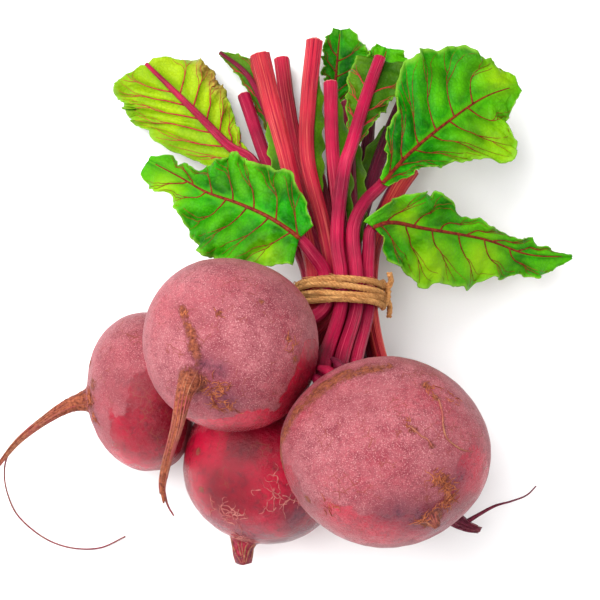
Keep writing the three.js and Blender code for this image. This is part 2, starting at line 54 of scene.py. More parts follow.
# Each beet: its middle, the way its root points, its greatest radius, its length from crown to root, how far
# along it is widest, its stretch in x, y and z, how much wider its stalks spread than in the tie, the depth
# and turn of its lumps, the bend of its stalks, and its taproot and rootlets as x, y, z and radius.
BEETS = {
    "beet_top_left": dict(
        middle=[-22.8, -26.4, 89], root=[-0.46, -0.05, 0.885], radius=34.2, length=64, widest=0.47,
        stretch=[1, 1, 1], spread=1.5, lump=[0.02, 0.4], neck=[1, -17, 58],
        tail=[[-35, -41, 112, 5.6], [-38, -49, 118, 3.2], [-41, -62, 116, 2.2], [-45, -74, 109, 1.6],
            [-47, -83, 103, 1.5], [-46.5, -89, 100, 0.9]],
        rootlets=[[[-46.8, -84, 102.5, 1.0], [-45, -90, 99, 0.6], [-43, -93.5, 97, 0.45]]]),
    "beet_left": dict(
        middle=[-62.5, -38.8, 32.2], root=[-0.985, -0.1, 0.02], radius=33, length=44, widest=0.42,
        stretch=[1, 1, 1], spread=1.15, lump=[0.015, 1.9], neck=[-3, -24.5, 44.5],
        tail=[[-80, -41, 33, 5.6], [-92, -44.3, 32, 2.9], [-101, -49, 29, 1.9], [-115.5, -59, 21, 1.4],
            [-125, -69, 14, 0.9], [-130, -74.5, 10, 0.5]],
        rootlets=[[[-114, -57.5, 22, 1.0], [-120.4, -64.5, 15.5, 0.6], [-122.8, -72, 8, 0.5],
            [-122, -80, 2.6, 0.5], [-118.5, -88, 0.7, 0.5], [-111.5, -95, 0.5, 0.5],
            [-102.4, -100.6, 0.5, 0.5], [-91.9, -103.4, 0.5, 0.5], [-81, -103, 0.5, 0.5],
            [-70.5, -98.2, 0.5, 0.45]]]),
    "beet_low": dict(
        middle=[-10, -71.5, 33.4], root=[-0.3, -0.95, -0.08], radius=34.4, length=61, widest=0.45,
        stretch=[1, 1, 1], spread=1.15, lump=[0.02, 3.1], neck=[11.5, -25, 40],
        tail=[[-17, -96, 29.5, 8], [-18.5, -103.5, 28, 4.8], [-18, -110.5, 26.5, 3.4]],
        rootlets=[]),
    "beet_right": dict(
        middle=[37.4, -69.2, 96.5], root=[0.36, -0.76, 0.54], radius=37.5, length=75, widest=0.5,
        stretch=[1.06, 0.93, 1], spread=1.15, lump=[0.02, 5.0], neck=None,
        tail=[[50, -90, 113, 5.5], [53.5, -96, 117, 3.2], [55, -98.5, 119, 1.6]],
        rootlets=[]),
    "beet_hidden": dict(
        middle=[52.5, -60, 26.8], root=[0.5, -0.86, -0.08], radius=27, length=50, widest=0.45,
        stretch=[1, 1, 1], spread=1.15, lump=[0.02, 2.2], neck=None,
        tail=[[61, -78, 26, 8.5], [68, -88.5, 23.5, 4.8], [75.5, -94, 21, 3.0], [82.5, -96.2, 19, 1.4]],
        rootlets=[[[75, -93.5, 21, 1.3], [81.9, -89.4, 22, 0.9], [88.2, -86.1, 23, 0.7],
            [95.3, -84.1, 24, 0.6], [101.6, -81.6, 25, 0.5], [105.4, -77.9, 26, 0.4]]]),
}

# Each stalk: its beet, its place in the tie as ring and degrees, its half width and half thickness at the far
# end and the points it passes beyond the tie. A leaf starts at one of those points and has its rib over or
# under the blade. An outline row is a share along the blade and its reach to the left and to the right.
STALKS = {
    "stalk_a": dict(
        beet="beet_top_left", slot=(2, 150), ends=(4.6, 3.0),
        beyond=[[7.5, 24, 56.5], [2.9, 44, 53], [-1.3, 63, 48.5], [-6.5, 84.5, 43], [-11.8, 108, 38]]),
    "stalk_b": dict(
        beet="beet_top_left", slot=(1, 120), ends=(3.8, 2.8),
        beyond=[[15, 28, 57], [8.5, 60, 48], [9.3, 88, 42], [12, 115, 36]]),
    "stalk_c": dict(
        beet="beet_top_left", slot=(2, 120), ends=(0.8, 0.7),
        beyond=[[10.5, 14, 66], [5, 20, 68.5], [-6.2, 28.4, 67.5], [-19.5, 36, 62], [-34.3, 43, 55],
            [-45, 50.4, 49.5], [-58.6, 59.2, 43]],
        leaf=dict(
            name="leaf_left_front", starts=1, face=(0.1, -0.25, 1), rib="under",
            outline=[[0, 11, 7.5], [0.1, 17, 13.3], [0.2, 22, 20.4], [0.35, 25.5, 18.4], [0.5, 24, 19.2],
                [0.6, 16, 14], [0.7, 11, 8], [0.8, 8.8, 4.6], [0.9, 11, 6], [1, 6.5, 2]],
            lean=((-0.45, 0.15), (-0.1, 0)), wave=2.2, waves=5, teeth=0.9, cup=-0.1)),
    "stalk_d": dict(
        beet="beet_right", slot=(2, 90), ends=(2.6, 2.0),
        beyond=[[20.5, 20.5, 63], [24.3, 54, 58], [26.5, 61, 57], [33.2, 84.3, 51], [40, 104.5, 46]],
        leaf=dict(
            name="leaf_middle", starts=2, face=(-0.1, 0.1, 1), rib="over",
            outline=[[0, 1.3, 1.7], [0.25, 3.8, 5], [0.5, 8.4, 9.2], [0.75, 11, 13.4], [1, 11, 11]],
            lean=((0.2, 0.1), (0.4, 0.2)), wave=1.2, waves=3, teeth=0.6, cup=-0.12)),
    "stalk_e": dict(
        beet="beet_right", slot=(1, 60), ends=(3.1, 2.6),
        beyond=[[24, 18, 55.5], [19.5, 60, 50], [18.8, 94, 43]]),
    "stalk_f": dict(
        beet="beet_right", slot=(2, 60), ends=(0.8, 0.7),
        beyond=[[27.5, 26, 62], [32.5, 37.5, 59.5], [39, 45, 56], [51.3, 60, 50], [70, 77, 44],
            [85.7, 88.5, 40], [100, 94.5, 37]],
        leaf=dict(
            name="leaf_right_back", starts=2, face=(0, -0.1, 1), rib="under",
            outline=[[0, 2.6, 2.6], [0.1, 6, 5], [0.2, 13, 8.5], [0.35, 21.5, 14.3], [0.5, 31, 21.5],
                [0.65, 31.5, 31], [0.75, 26, 24], [0.8, 21.5, 14.5], [0.9, 13, 10], [1, 4, 2.5]],
            lean=((0.5, 0.1), (0, 0.1)), wave=2.4, waves=4, teeth=0.9, cup=0.08)),
    "stalk_g": dict(
        beet="beet_hidden", slot=(2, 0), ends=(3.6, 2.6),
        beyond=[[36.5, 20, 46], [41.5, 35, 40], [48, 49, 34.5], [54, 58.5, 31]]),
    "stalk_h": dict(
        beet="beet_right", slot=(1, 0), ends=(2.8, 2.4),
        beyond=[[27.5, 30, 48.5], [26.5, 61, 41], [26, 88, 33]]),
    "stalk_i": dict(
        beet="beet_left", slot=(2, 180), ends=(0.9, 0.7),
        beyond=[[3.5, 24, 45], [-7, 46, 31], [-16.3, 65.5, 24], [-24.7, 71, 22], [-37.8, 85, 19],
            [-50.6, 98.7, 16], [-63.5, 112.3, 13]],
        leaf=dict(
            name="leaf_left_back", starts=2, face=(-0.1, 0.1, 1), rib="over",
            outline=[[0, 2, 1.5], [0.15, 13.5, 7], [0.3, 27, 11], [0.45, 33, 16], [0.6, 29, 18.7],
                [0.75, 28, 20], [0.9, 15, 12], [1, 2, 4]],
            lean=((0.25, 0.8), (0.1, 0.05)), wave=1.8, waves=4, teeth=0.9, cup=-0.07)),
    "stalk_j": dict(
        beet="beet_left", slot=(1, 180), ends=(3.0, 2.6),
        beyond=[[11.5, 24, 42.5], [-6, 58, 21], [-19.5, 99, 8]]),
    "stalk_k": dict(
        beet="beet_left", slot=(2, 210), ends=(0.8, 0.7),
        beyond=[[8, 26, 32], [3.5, 48, 19], [-3, 71, 13], [-11.3, 96, 9], [-19, 110, 7.5], [-30.6, 120, 6]],
        leaf=dict(
            name="leaf_left_small", starts=2, face=(-0.2, 0.1, 1), rib="over",
            outline=[[0, 1.4, 1.4], [0.25, 3.4, 4.5], [0.5, 4.6, 7], [0.75, 3.6, 6.5], [0.9, 2, 3.5],
                [1, 0.7, 0.8]],
            lean=((0.3, 0.3), (0.3, 0.3)), wave=0.8, waves=3, teeth=0.5, cup=0.1)),
    "stalk_l": dict(
        beet="beet_low", slot=(0, 0), ends=(2.8, 2.4),
        beyond=[[18.5, 30, 41], [12.5, 64, 29], [11.5, 98, 18], [12.5, 124, 11]]),
    "stalk_m": dict(
        beet="beet_low", slot=(1, 240), ends=(3.6, 2.6),
        beyond=[[15.5, 28, 36], [5.5, 64, 22], [0, 95, 13], [-2.5, 116, 8.5]]),
    "stalk_n": dict(
        beet="beet_low", slot=(2, 240), ends=(3.0, 2.6),
        beyond=[[15, 28, 27], [12, 53, 13], [11, 78, 4.2], [12, 102, 2.3]]),
    "stalk_o": dict(
        beet="beet_low", slot=(2, 270), ends=(0.8, 0.7),
        beyond=[[22.5, 28, 26], [20.5, 66, 11], [21, 92, 6], [22.5, 112, 4.2], [24.3, 131, 3.6]],
        leaf=dict(
            name="leaf_back_middle", starts=2, face=(0, 0, 1), rib="under",
            outline=[[0, 1.5, 1.8], [0.2, 4, 7.5], [0.4, 6, 13.5], [0.6, 7, 15], [0.8, 6.5, 12],
                [0.9, 5, 8], [1, 3, 4]],
            lean=((0.3, 0.2), (0.3, 0.2)), wave=1.2, waves=4, teeth=0.7, cup=0.1)),
    "stalk_p": dict(
        beet="beet_hidden", slot=(1, 300), ends=(3.1, 2.6),
        beyond=[[31, 33, 38.5], [41, 66, 27.5], [53, 96, 18]]),
    "stalk_q": dict(
        beet="beet_hidden", slot=(2, 300), ends=(0.8, 0.7),
        beyond=[[30, 34, 28], [35, 68, 17], [38, 90.5, 13.5], [41, 105, 12], [45, 119.8, 11]],
        leaf=dict(
            name="leaf_back_right", starts=2, face=(0.1, 0, 1), rib="under",
            outline=[[0, 1.5, 1.5], [0.3, 5, 6], [0.6, 8, 11], [0.8, 8, 12], [1, 5, 7]],
            lean=((0.2, 0.1), (0.2, 0.1)), wave=1.8, waves=4, teeth=0.8, cup=0.15)),
    "stalk_r": dict(
        beet="beet_hidden", slot=(2, 330), ends=(3.0, 2.6),
        beyond=[[37.5, 30, 33], [50, 58, 18], [63, 79, 9]]),
    "stalk_s": dict(
        beet="beet_right", slot=(2, 30), ends=(0.8, 0.7),
        beyond=[[33.8, 17, 59.5], [35, 25.5, 61.8], [42, 28.5, 58.5], [56.3, 28.2, 49.5], [85, 27, 32],
            [105.3, 23, 20], [125.5, 24, 10]],
        leaf=dict(
            name="leaf_right_front", starts=1, face=(0.1, -0.1, 1), rib="under",
            outline=[[0, 4, 4], [0.1, 10, 17], [0.2, 14.5, 18.8], [0.3, 17.6, 24], [0.4, 9.5, 21.5],
                [0.5, 7, 23], [0.6, 5.8, 19], [0.7, 5.7, 12.2], [0.8, 7.2, 9], [0.9, 2.4, 7],
                [1, 0.8, 0.8]],
            lean=((-0.05, 0.1), (-0.15, -0.1)), wave=2.0, waves=6, teeth=1.2, cup=-0.08)),
}


# Small vector helpers
def unit(v):
    v = np.asarray(v, float)
    return v / np.maximum(np.linalg.norm(v, axis=-1, keepdims=True), 1e-12)


def smooth(t):
    t = np.clip(t, 0.0, 1.0)
    return t * t * (3 - 2 * t)


def lerp(a, b, t):
    return a + (b - a) * t


def turned(v, way):
    """v turned by the shortest turn that takes +Y to way."""
    y = np.array([0.0, 1.0, 0.0])
    axis = np.cross(y, way)
    sine, cosine = np.linalg.norm(axis), float(np.dot(y, way))
    if sine < 1e-9:
        return np.array(v, float)
    axis = axis / sine
    v = np.asarray(v, float)
    return v * cosine + np.cross(axis, v) * sine + axis * np.dot(axis, v) * (1 - cosine)


class Curve:
    """A centripetal Catmull-Rom curve, read by share of length."""

    def __init__(self, points, fine=1200):
        self.points = [np.array(p[:3], float) for p in points]
        ts = np.linspace(0, 1, fine + 1)
        self.at = np.array([self._point(t) for t in ts])
        steps = np.linalg.norm(np.diff(self.at, axis=0), axis=1)
        self.length = steps.sum()
        self.share = np.concatenate([[0], np.cumsum(steps)]) / self.length
        self.ts = ts

    def _point(self, t):
        pts, n = self.points, len(self.points)
        p = (n - 1) * t
        k = min(int(p), n - 2)
        w = p - k
        p1, p2 = pts[k], pts[k + 1]
        p0 = pts[k - 1] if k > 0 else 2 * pts[0] - pts[1]
        p3 = pts[k + 2] if k + 2 < n else 2 * pts[n - 1] - pts[n - 2]
        d0 = max(np.linalg.norm(p1 - p0) ** 0.5, 1e-4)
        d1 = max(np.linalg.norm(p2 - p1) ** 0.5, 1e-4)
        d2 = max(np.linalg.norm(p3 - p2) ** 0.5, 1e-4)
        t1 = ((p1 - p0) / d0 - (p2 - p0) / (d0 + d1) + (p2 - p1) / d1) * d1
        t2 = ((p2 - p1) / d1 - (p3 - p1) / (d1 + d2) + (p3 - p2) / d2) * d1
        return p1 + t1 * w + (-3 * p1 + 3 * p2 - 2 * t1 - t2) * w * w + (2 * p1 - 2 * p2 + t1 + t2) * w ** 3

    def point(self, share):
        return np.stack([np.interp(share, self.share, self.at[:, i]) for i in range(3)], -1)

    def tangent(self, share):
        a = self.point(np.clip(np.asarray(share) - 0.002, 0, 1))
        b = self.point(np.clip(np.asarray(share) + 0.002, 0, 1))
        return unit(b - a)

    def share_of(self, index):
        return float(np.interp(index / (len(self.points) - 1), self.ts, self.share))


def frames(tangent, hint):
    side = unit(np.cross(np.broadcast_to(np.asarray(hint, float), tangent.shape), tangent))
    return side, unit(np.cross(tangent, side))


def slot_place(slot):
    angle = math.radians(slot[1])
    return TIE + RING_RADII[slot[0]] * np.array([math.cos(angle), 0, math.sin(angle)])


def stalk_curve(name):
    stalk = STALKS[name]
    beet = BEETS[stalk["beet"]]
    mates = [slot_place(s["slot"]) for s in STALKS.values() if s["beet"] == stalk["beet"]]
    mean = np.mean(mates, axis=0)
    away = -unit(beet["root"])
    slot = slot_place(stalk["slot"])
    offset = (slot - mean) * beet["spread"]
    crown = np.array(beet["middle"]) + away * (beet["length"] / 2 - 2) * np.array(beet["stretch"])
    foot = crown + turned(offset, away)
    points = [foot - 4 * away, foot + 8 * away]
    if beet["neck"]:
        bend = np.array(beet["neck"], float)
        into = unit(bend - crown)
        out = unit(mean + np.array([0, -TIE_HALF, 0]) - bend)
        points.append(bend + turned(offset, unit(into + out)))
    points += [slot + np.array([0, -TIE_HALF, 0]), slot + np.array([0, TIE_HALF, 0])]
    points += [np.array(p, float) for p in stalk["beyond"]]
    return Curve(points)


def noise_at(points, scale, seed):
    return np.array([noise.noise(Vector(p) * scale + Vector((seed, 1.7 * seed, -seed))) for p in points])


# Mesh helpers
class Build:
    """Gathers rings and sheets into one mesh."""

    def __init__(self):
        self.points, self.faces, self.uv, self.slots, self.count = [], [], [], [], 0
        self.tags = {}

    def add(self, points, faces, uv, slot=0, **tags):
        points = np.asarray(points, float)
        self.faces += [tuple(self.count + i for i in f) for f in faces]
        self.slots += [slot] * len(faces)
        self.points.append(points)
        self.uv.append(np.asarray(uv, float))
        for key in set(self.tags) | set(tags):
            have = self.tags.setdefault(key, [np.zeros(self.count)] if self.count else [])
            have.append(np.broadcast_to(np.asarray(tags.get(key, 0.0), float), (len(points),)))
        self.count += len(points)

    def rings(self, rings, slot=0, caps=True, uv=None, **tags):
        rings = np.asarray(rings, float)
        n, m = rings.shape[:2]
        faces = []
        for i in range(n - 1):
            for j in range(m):
                k = (j + 1) % m
                faces.append((i * m + j, i * m + k, (i + 1) * m + k, (i + 1) * m + j))
        if caps:
            faces.append(tuple(reversed(range(m))))
            faces.append(tuple((n - 1) * m + j for j in range(m)))
        if uv is None:
            u, v = np.meshgrid(np.arange(m) / m, np.linspace(0, 1, n))
            uv = np.stack([u, v], -1)
        self.add(rings.reshape(-1, 3), faces, np.asarray(uv).reshape(-1, 2), slot, **tags)

    def tube(self, curve, radius, sides, steps, slot=0, **tags):
        share = np.linspace(0, 1, steps)
        radii = np.interp(share, np.linspace(0, 1, len(radius)), radius)
        self.rings(tube_rings(curve.point(share), curve.tangent(share), radii, sides), slot, **tags)

    def made(self, name, materials):
        mesh = bpy.data.meshes.new(name)
        points = (np.concatenate(self.points) + SHIFT) * 0.001
        mesh.from_pydata([tuple(p) for p in points], [], self.faces)
        for material in materials:
            mesh.materials.append(material)
        mesh.polygons.foreach_set("use_smooth", [True] * len(mesh.polygons))
        mesh.polygons.foreach_set("material_index", self.slots)
        layer = mesh.uv_layers.new(name="UVMap")
        loops = np.empty(len(mesh.loops), int)
        mesh.loops.foreach_get("vertex_index", loops)
        layer.data.foreach_set("uv", np.concatenate(self.uv)[loops].ravel())
        for key, values in self.tags.items():
            attribute = mesh.attributes.new(key, "FLOAT", "POINT")
            attribute.data.foreach_set("value", np.concatenate(values))
        mesh.update()
        made = bpy.data.objects.new(name, mesh)
        bpy.context.scene.collection.objects.link(made)
        return made


def tube_rings(points, tangents, radii, sides, hint=(0.3, 0.2, 1)):
    side, normal = frames(tangents, hint)
    angle = 2 * math.pi * np.arange(sides) / sides
    ring = side[:, None] * np.cos(angle)[None, :, None] + normal[:, None] * np.sin(angle)[None, :, None]
    return points[:, None] + ring * np.asarray(radii)[:, None, None]


# Materials
class Nodes:
    def __init__(self, name):
        self.material = bpy.data.materials.new(name)
        self.material.use_nodes = True
        self.tree = self.material.node_tree
        self.shader = self.tree.nodes["Principled BSDF"]

    def node(self, kind, values=None, **settings):
        made = self.tree.nodes.new(kind)
        for key, value in settings.items():
            setattr(made, key, value)
        for key, value in (values or {}).items():
            if isinstance(value, bpy.types.NodeSocket):
                self.tree.links.new(value, made.inputs[key])
            else:
                made.inputs[key].default_value = value
        return made

    def link(self, a, b):
        self.tree.links.new(a, b)

    def coords(self, kind="Object"):
        return self.node("ShaderNodeTexCoord").outputs[kind]

    def scaled(self, vector, scale):
        return self.node("ShaderNodeMapping", {"Vector": vector, "Scale": scale}).outputs["Vector"]

    def noise(self, vector, scale, detail=4.0, rough=0.55, distortion=0.0):
        return self.node("ShaderNodeTexNoise", {"Vector": vector, "Scale": scale, "Detail": detail,
                                                "Roughness": rough, "Distortion": distortion}).outputs["Fac"]

    def cells(self, vector, scale):
        """Distance to the edges of irregular cells."""
        return self.node("ShaderNodeTexVoronoi", {"Vector": vector, "Scale": scale},
                         feature="DISTANCE_TO_EDGE").outputs["Distance"]

    def tag(self, name):
        return self.node("ShaderNodeAttribute", attribute_name=name).outputs["Fac"]

    def remap(self, value, low, high, to_low=0.0, to_high=1.0):
        return self.node("ShaderNodeMapRange", {"Value": value, "From Min": low, "From Max": high,
                                                "To Min": to_low, "To Max": to_high}).outputs["Result"]

    def put(self, value, socket):
        if isinstance(value, bpy.types.NodeSocket):
            self.link(value, socket)
        else:
            socket.default_value = value

    def math(self, operation, a, b):
        made = self.node("ShaderNodeMath", operation=operation)
        self.put(a, made.inputs[0])
        self.put(b, made.inputs[1])
        return made.outputs[0]

    def plus(self, a, b):
        return self.math("ADD", a, b)

    def times(self, a, b):
        return self.math("MULTIPLY", a, b)

    def mix(self, factor, a, b):
        """Colour a where factor is 0, colour b where it is 1."""
        made = self.node("ShaderNodeMix", data_type="RGBA")
        self.put(factor, made.inputs[0])
        for colour, socket in ((a, made.inputs[6]), (b, made.inputs[7])):
            self.put((*colour, 1.0) if isinstance(colour, tuple) else colour, socket)
        return made.outputs[2]

    def blend(self, value, low, high, a, b):
        """From colour a where value is low to colour b where it is high."""
        return self.mix(self.remap(value, low, high), a, b)

    def bump(self, height, strength, distance):
        values = {"Height": height, "Strength": strength, "Distance": distance}
        return self.node("ShaderNodeBump", values).outputs["Normal"]

    def finish(self, colour, roughness, normal, **fixed):
        self.put(colour, self.shader.inputs["Base Color"])
        self.put(roughness, self.shader.inputs["Roughness"])
        if normal is not None:
            self.link(normal, self.shader.inputs["Normal"])
        for key, value in fixed.items():
            self.shader.inputs[key.replace("_", " ")].default_value = value
        return self.material


def beet_material():
    m = Nodes("beet_skin_fine")
    p = m.coords()
    slow = m.noise(p, 38, 3, 0.5)
    mottle = m.noise(p, 170, 5, 0.65)
    grain = m.noise(p, 700, 5, 0.7)
    speck = m.noise(p, 2100, 2, 0.6)
    bare = m.blend(slow, 0.35, 0.65, (0.17, 0.0008, 0.010), (0.50, 0.003, 0.032))
    bare = m.mix(m.remap(m.noise(p, 260, 5, 0.65, 1.0), 0.5, 0.68, 0.0, 0.6), bare, (0.07, 0.003, 0.010))
    bare = m.mix(m.remap(speck, 0.62, 0.75, 0.0, 0.3), bare, (0.46, 0.04, 0.065))
    # Pale pink layer: a dusty bloom together with painted sheen, a painted reflection of the lamps, with pale
    # specks for its sparkle.
    dust_sheen_colour = m.blend(mottle, 0.36, 0.64, (0.185, 0.028, 0.043), (0.33, 0.088, 0.105))
    dust_sheen_colour = m.mix(m.remap(m.noise(p, 24, 3, 0.5), 0.4, 0.66, 0.0, 0.6), dust_sheen_colour, (0.38, 0.115, 0.133))
    dust_sheen_colour = m.mix(m.remap(grain, 0.5, 0.66, 0.0, 0.75), dust_sheen_colour, (0.17, 0.018, 0.030))
    dust_sheen_colour = m.mix(m.remap(speck, 0.54, 0.66, 0.0, 0.7), dust_sheen_colour, (0.56, 0.25, 0.25))
    dust = m.plus(m.tag("dust"), m.remap(grain, 0.3, 0.7, -0.16, 0.16))
    colour = m.blend(dust, 0.05, 0.95, bare, dust_sheen_colour)
    dark = m.remap(m.noise(p, 330, 6, 0.7, 2.0), 0.60, 0.68, 0.0, 0.6)
    colour = m.mix(dark, colour, (0.14, 0.022, 0.018))
    lines = m.remap(m.cells(p, 230), 0.0, 0.05, 0.9, 0.0)
    lines = m.times(lines, m.remap(m.noise(p, 80, 4, 0.6, 1.0), 0.52, 0.60))
    colour = m.mix(lines, colour, (0.20, 0.035, 0.022))
    cork = m.plus(m.tag("cork"), m.remap(m.noise(p, 420, 6, 0.7, 2.0), 0.3, 0.7, -0.4, 0.4))
    brown = m.blend(grain, 0.35, 0.65, (0.10, 0.015, 0.010), (0.40, 0.11, 0.05))
    colour = m.blend(cork, 0.35, 0.7, colour, brown)
    bruise = m.times(m.tag("bruise"), m.remap(mottle, 0.3, 0.6, 0.15, 1.1))
    colour = m.mix(bruise, colour, m.blend(grain, 0.4, 0.6, (0.045, 0.008, 0.022), (0.16, 0.035, 0.06)))
    rough = m.plus(m.remap(dust, 0.1, 0.9, 0.20, 0.50), m.remap(cork, 0.35, 0.75, 0.0, 0.25))
    height = m.plus(m.times(grain, 0.8), m.times(speck, 0.3))
    height = m.plus(height, m.times(m.remap(cork, 0.3, 0.9), 1.6))
    height = m.plus(height, m.times(m.remap(dust, 0.3, 0.7), 0.25))
    m.link(m.remap(dust, 0.1, 0.8, 0.26, 0.2), m.shader.inputs["Specular IOR Level"])
    return m.finish(colour, rough, m.bump(height, 0.7, 0.0007))


def root_material():
    m = Nodes("root_bark")
    p = m.coords()
    fine = m.noise(p, 700, 5, 0.7)
    slow = m.noise(p, 120, 3, 0.5)
    colour = m.blend(fine, 0.3, 0.7, (0.13, 0.03, 0.018), (0.46, 0.19, 0.10))
    colour = m.blend(slow, 0.4, 0.65, colour, (0.30, 0.05, 0.055))
    colour = m.mix(m.tag("bruise"), colour, m.blend(fine, 0.3, 0.7, (0.05, 0.003, 0.012), (0.20, 0.02, 0.05)))
    return m.finish(colour, 0.65, m.bump(fine, 0.6, 0.0008), Specular_IOR_Level=0.2)


def hair_material():
    m = Nodes("root_hairs")
    fine = m.noise(m.coords(), 500, 3, 0.6)
    colour = m.blend(fine, 0.35, 0.65, (0.16, 0.028, 0.015), (0.46, 0.14, 0.06))
    colour = m.mix(m.tag("dust"), colour, m.blend(fine, 0.35, 0.65, (0.30, 0.05, 0.06), (0.62, 0.26, 0.22)))
    return m.finish(colour, 0.7, None, Specular_IOR_Level=0.15)


def stalk_material():
    m = Nodes("stalk_fine")
    p = m.coords()
    uv = m.coords("UV")
    streak = m.noise(m.scaled(uv, (30, 1.3, 1)), 1.0, 4, 0.6)
    fine = m.noise(m.scaled(uv, (110, 4, 1)), 1.0, 3, 0.6)
    slow = m.noise(p, 45, 3, 0.5)
    red = m.blend(slow, 0.35, 0.65, (0.20, 0.001, 0.024), (0.46, 0.002, 0.050))
    warm = m.blend(streak, 0.38, 0.66, (0.38, 0.003, 0.018), (0.60, 0.06, 0.04))
    colour = m.mix(m.tag("warm"), red, warm)
    pale = m.mix(m.tag("warm"), (0.62, 0.09, 0.14), (0.74, 0.26, 0.10))
    colour = m.mix(m.remap(streak, 0.56, 0.68, 0.0, 0.6), colour, pale)
    colour = m.mix(m.remap(fine, 0.6, 0.74, 0.0, 0.4), colour, (0.72, 0.24, 0.24))
    colour = m.mix(m.remap(streak, 0.44, 0.32, 0.0, 0.85), colour, (0.10, 0.001, 0.012))
    # Stalks tagged dark go near black: painted shade on those lying under the others, partly their own deep
    # purple.
    deep = m.blend(streak, 0.4, 0.65, (0.03, 0.001, 0.009), (0.15, 0.005, 0.032))
    colour = m.mix(m.tag("dark"), colour, deep)
    height = m.plus(streak, m.times(fine, 0.4))
    return m.finish(colour, 0.38, m.bump(height, 0.6, 0.0010), Specular_IOR_Level=0.18)


def cut_material():
    m = Nodes("stalk_cut")
    p = m.coords()
    cells = m.cells(p, 900)
    fine = m.noise(p, 800, 4, 0.6)
    colour = m.blend(fine, 0.35, 0.65, (0.62, 0.10, 0.09), (0.85, 0.42, 0.30))
    colour = m.mix(m.remap(cells, 0.0, 0.15, 0.5, 0.0), colour, (0.45, 0.02, 0.05))
    return m.finish(colour, 0.45, m.bump(fine, 0.5, 0.0006))


def leaf_material(name, dark, light, pale, amount):
    m = Nodes(name)
    p = m.coords()
    net = m.cells(p, 520)
    slow = m.noise(p, 60, 4, 0.6, 0.8)
    patch = m.noise(p, 28, 3, 0.5)
    fine = m.noise(p, 420, 4, 0.6)
    colour = m.blend(slow, 0.38, 0.62, dark, light)
    # Painted highlight: the swells between the veins are paled in patches.
    crest = m.times(m.tag("crest"), m.remap(patch, 0.4, 0.62, 0.0, 0.9))
    colour = m.mix(crest, colour, pale)
    colour = m.mix(m.remap(net, 0.0, 0.12, 0.22, 0.0), colour, tuple(c * 0.6 for c in dark))
    colour = m.mix(m.remap(fine, 0.55, 0.75, 0.0, 0.25), colour, pale)
    yellow = m.times(m.tag("yellow"), m.remap(slow, 0.3, 0.6, 0.3, 0.9))
    colour = m.mix(yellow, colour, (0.24, 0.44, 0.003))
    # Painted highlight: a pale band along each vein.
    beside = m.remap(m.tag("crest"), 0.06, 0.22, 0.45, 0.0)
    colour = m.mix(beside, colour, pale)
    colour = m.mix(m.times(m.tag("edge"), 0.7), colour, (0.20, 0.42, 0.03))
    colour = m.mix(m.times(m.tag("near_rib"), amount), colour, (0.26, 0.05, 0.01))
    dry = m.blend(fine, 0.35, 0.65, (0.12, 0.035, 0.01), (0.40, 0.26, 0.05))
    colour = m.mix(m.tag("withered"), colour, dry)
    height = m.plus(m.remap(net, 0.0, 0.3), m.times(fine, 0.8))
    normal = m.bump(height, 0.22, 0.0006)
    return m.finish(colour, m.remap(fine, 0.3, 0.7, 0.36, 0.5), normal, Specular_IOR_Level=0.07)


def vein_material(name, a, b):
    m = Nodes(name)
    fine = m.noise(m.coords(), 600, 3, 0.6)
    colour = m.blend(fine, 0.35, 0.65, a, b)
    return m.finish(colour, 0.45, m.bump(fine, 0.3, 0.0004), Specular_IOR_Level=0.1)


def twine_material():
    m = Nodes("jute")
    uv = m.coords("UV")
    p = m.coords()
    fibre = m.noise(m.scaled(uv, (6, 110, 1)), 1.0, 4, 0.7)
    slow = m.noise(p, 260, 3, 0.5)
    colour = m.blend(fibre, 0.36, 0.62, (0.37, 0.115, 0.026), (0.98, 0.52, 0.19))
    colour = m.mix(m.times(m.remap(slow, 0.5, 0.7), 0.5), colour, (0.82, 0.48, 0.18))
    return m.finish(colour, 0.85, m.bump(fibre, 1.0, 0.0009), Specular_IOR_Level=0.1)


BEET = beet_material()
ROOT = root_material()
HAIR = hair_material()
STALK = stalk_material()
CUT = cut_material()
LEAF_TOP = leaf_material("leaf_upper", (0.002, 0.075, 0.0006), (0.010, 0.24, 0.001),
                         (0.075, 0.37, 0.002), 0.25)
LEAF_UNDER = leaf_material("leaf_lower", (0.12, 0.27, 0.0015), (0.22, 0.38, 0.002),
                           (0.33, 0.47, 0.008), 0.3)
# A darker copy of the lower face: painted shade for blades and torn strips lying among the stalks.
LEAF_SHADE = leaf_material("leaf_lower_dark", (0.02, 0.085, 0.002), (0.05, 0.15, 0.003),
                           (0.10, 0.22, 0.006), 0.3)
VEIN_DARK = vein_material("veins_dark", (0.10, 0.004, 0.006), (0.22, 0.03, 0.008))
VEIN_PINK = vein_material("veins_red", (0.30, 0.008, 0.025), (0.42, 0.04, 0.03))
TWINE = twine_material()


# Beets
def beet_shares(widest, share):
    bent = share ** (math.log(0.5) / math.log(widest))
    return np.maximum(0.0, 1 - np.abs(2 * bent - 1) ** 2.25) ** (1 / 2.1)


def beet_rings(beet, rings, sides):
    axis = unit(beet["root"])
    side, normal = frames(axis[None], (0.3, 0.2, 1))
    side, normal = side[0], normal[0]
    lump, phase = beet["lump"]
    middle = np.array(beet["middle"], float)
    crown = middle - axis * beet["length"] / 2
    turn = (np.arange(rings) + 0.5) / rings * math.pi
    share = (1 - np.cos(turn)) / 2
    radius = beet["radius"] * beet_shares(beet["widest"], share)
    angle = 2 * math.pi * np.arange(sides) / sides
    swell = (1 + lump * np.sin(2 * angle[None] + phase)
             + 0.5 * lump * np.sin(3 * angle[None] + 2 * phase + 4 * share[:, None]))
    across = side * np.cos(angle)[:, None] + normal * np.sin(angle)[:, None]
    body = (crown + axis * (share * beet["length"])[:, None, None]
            + across[None] * (radius[:, None] * swell)[..., None])
    return (body - middle) * np.array(beet["stretch"]) + middle


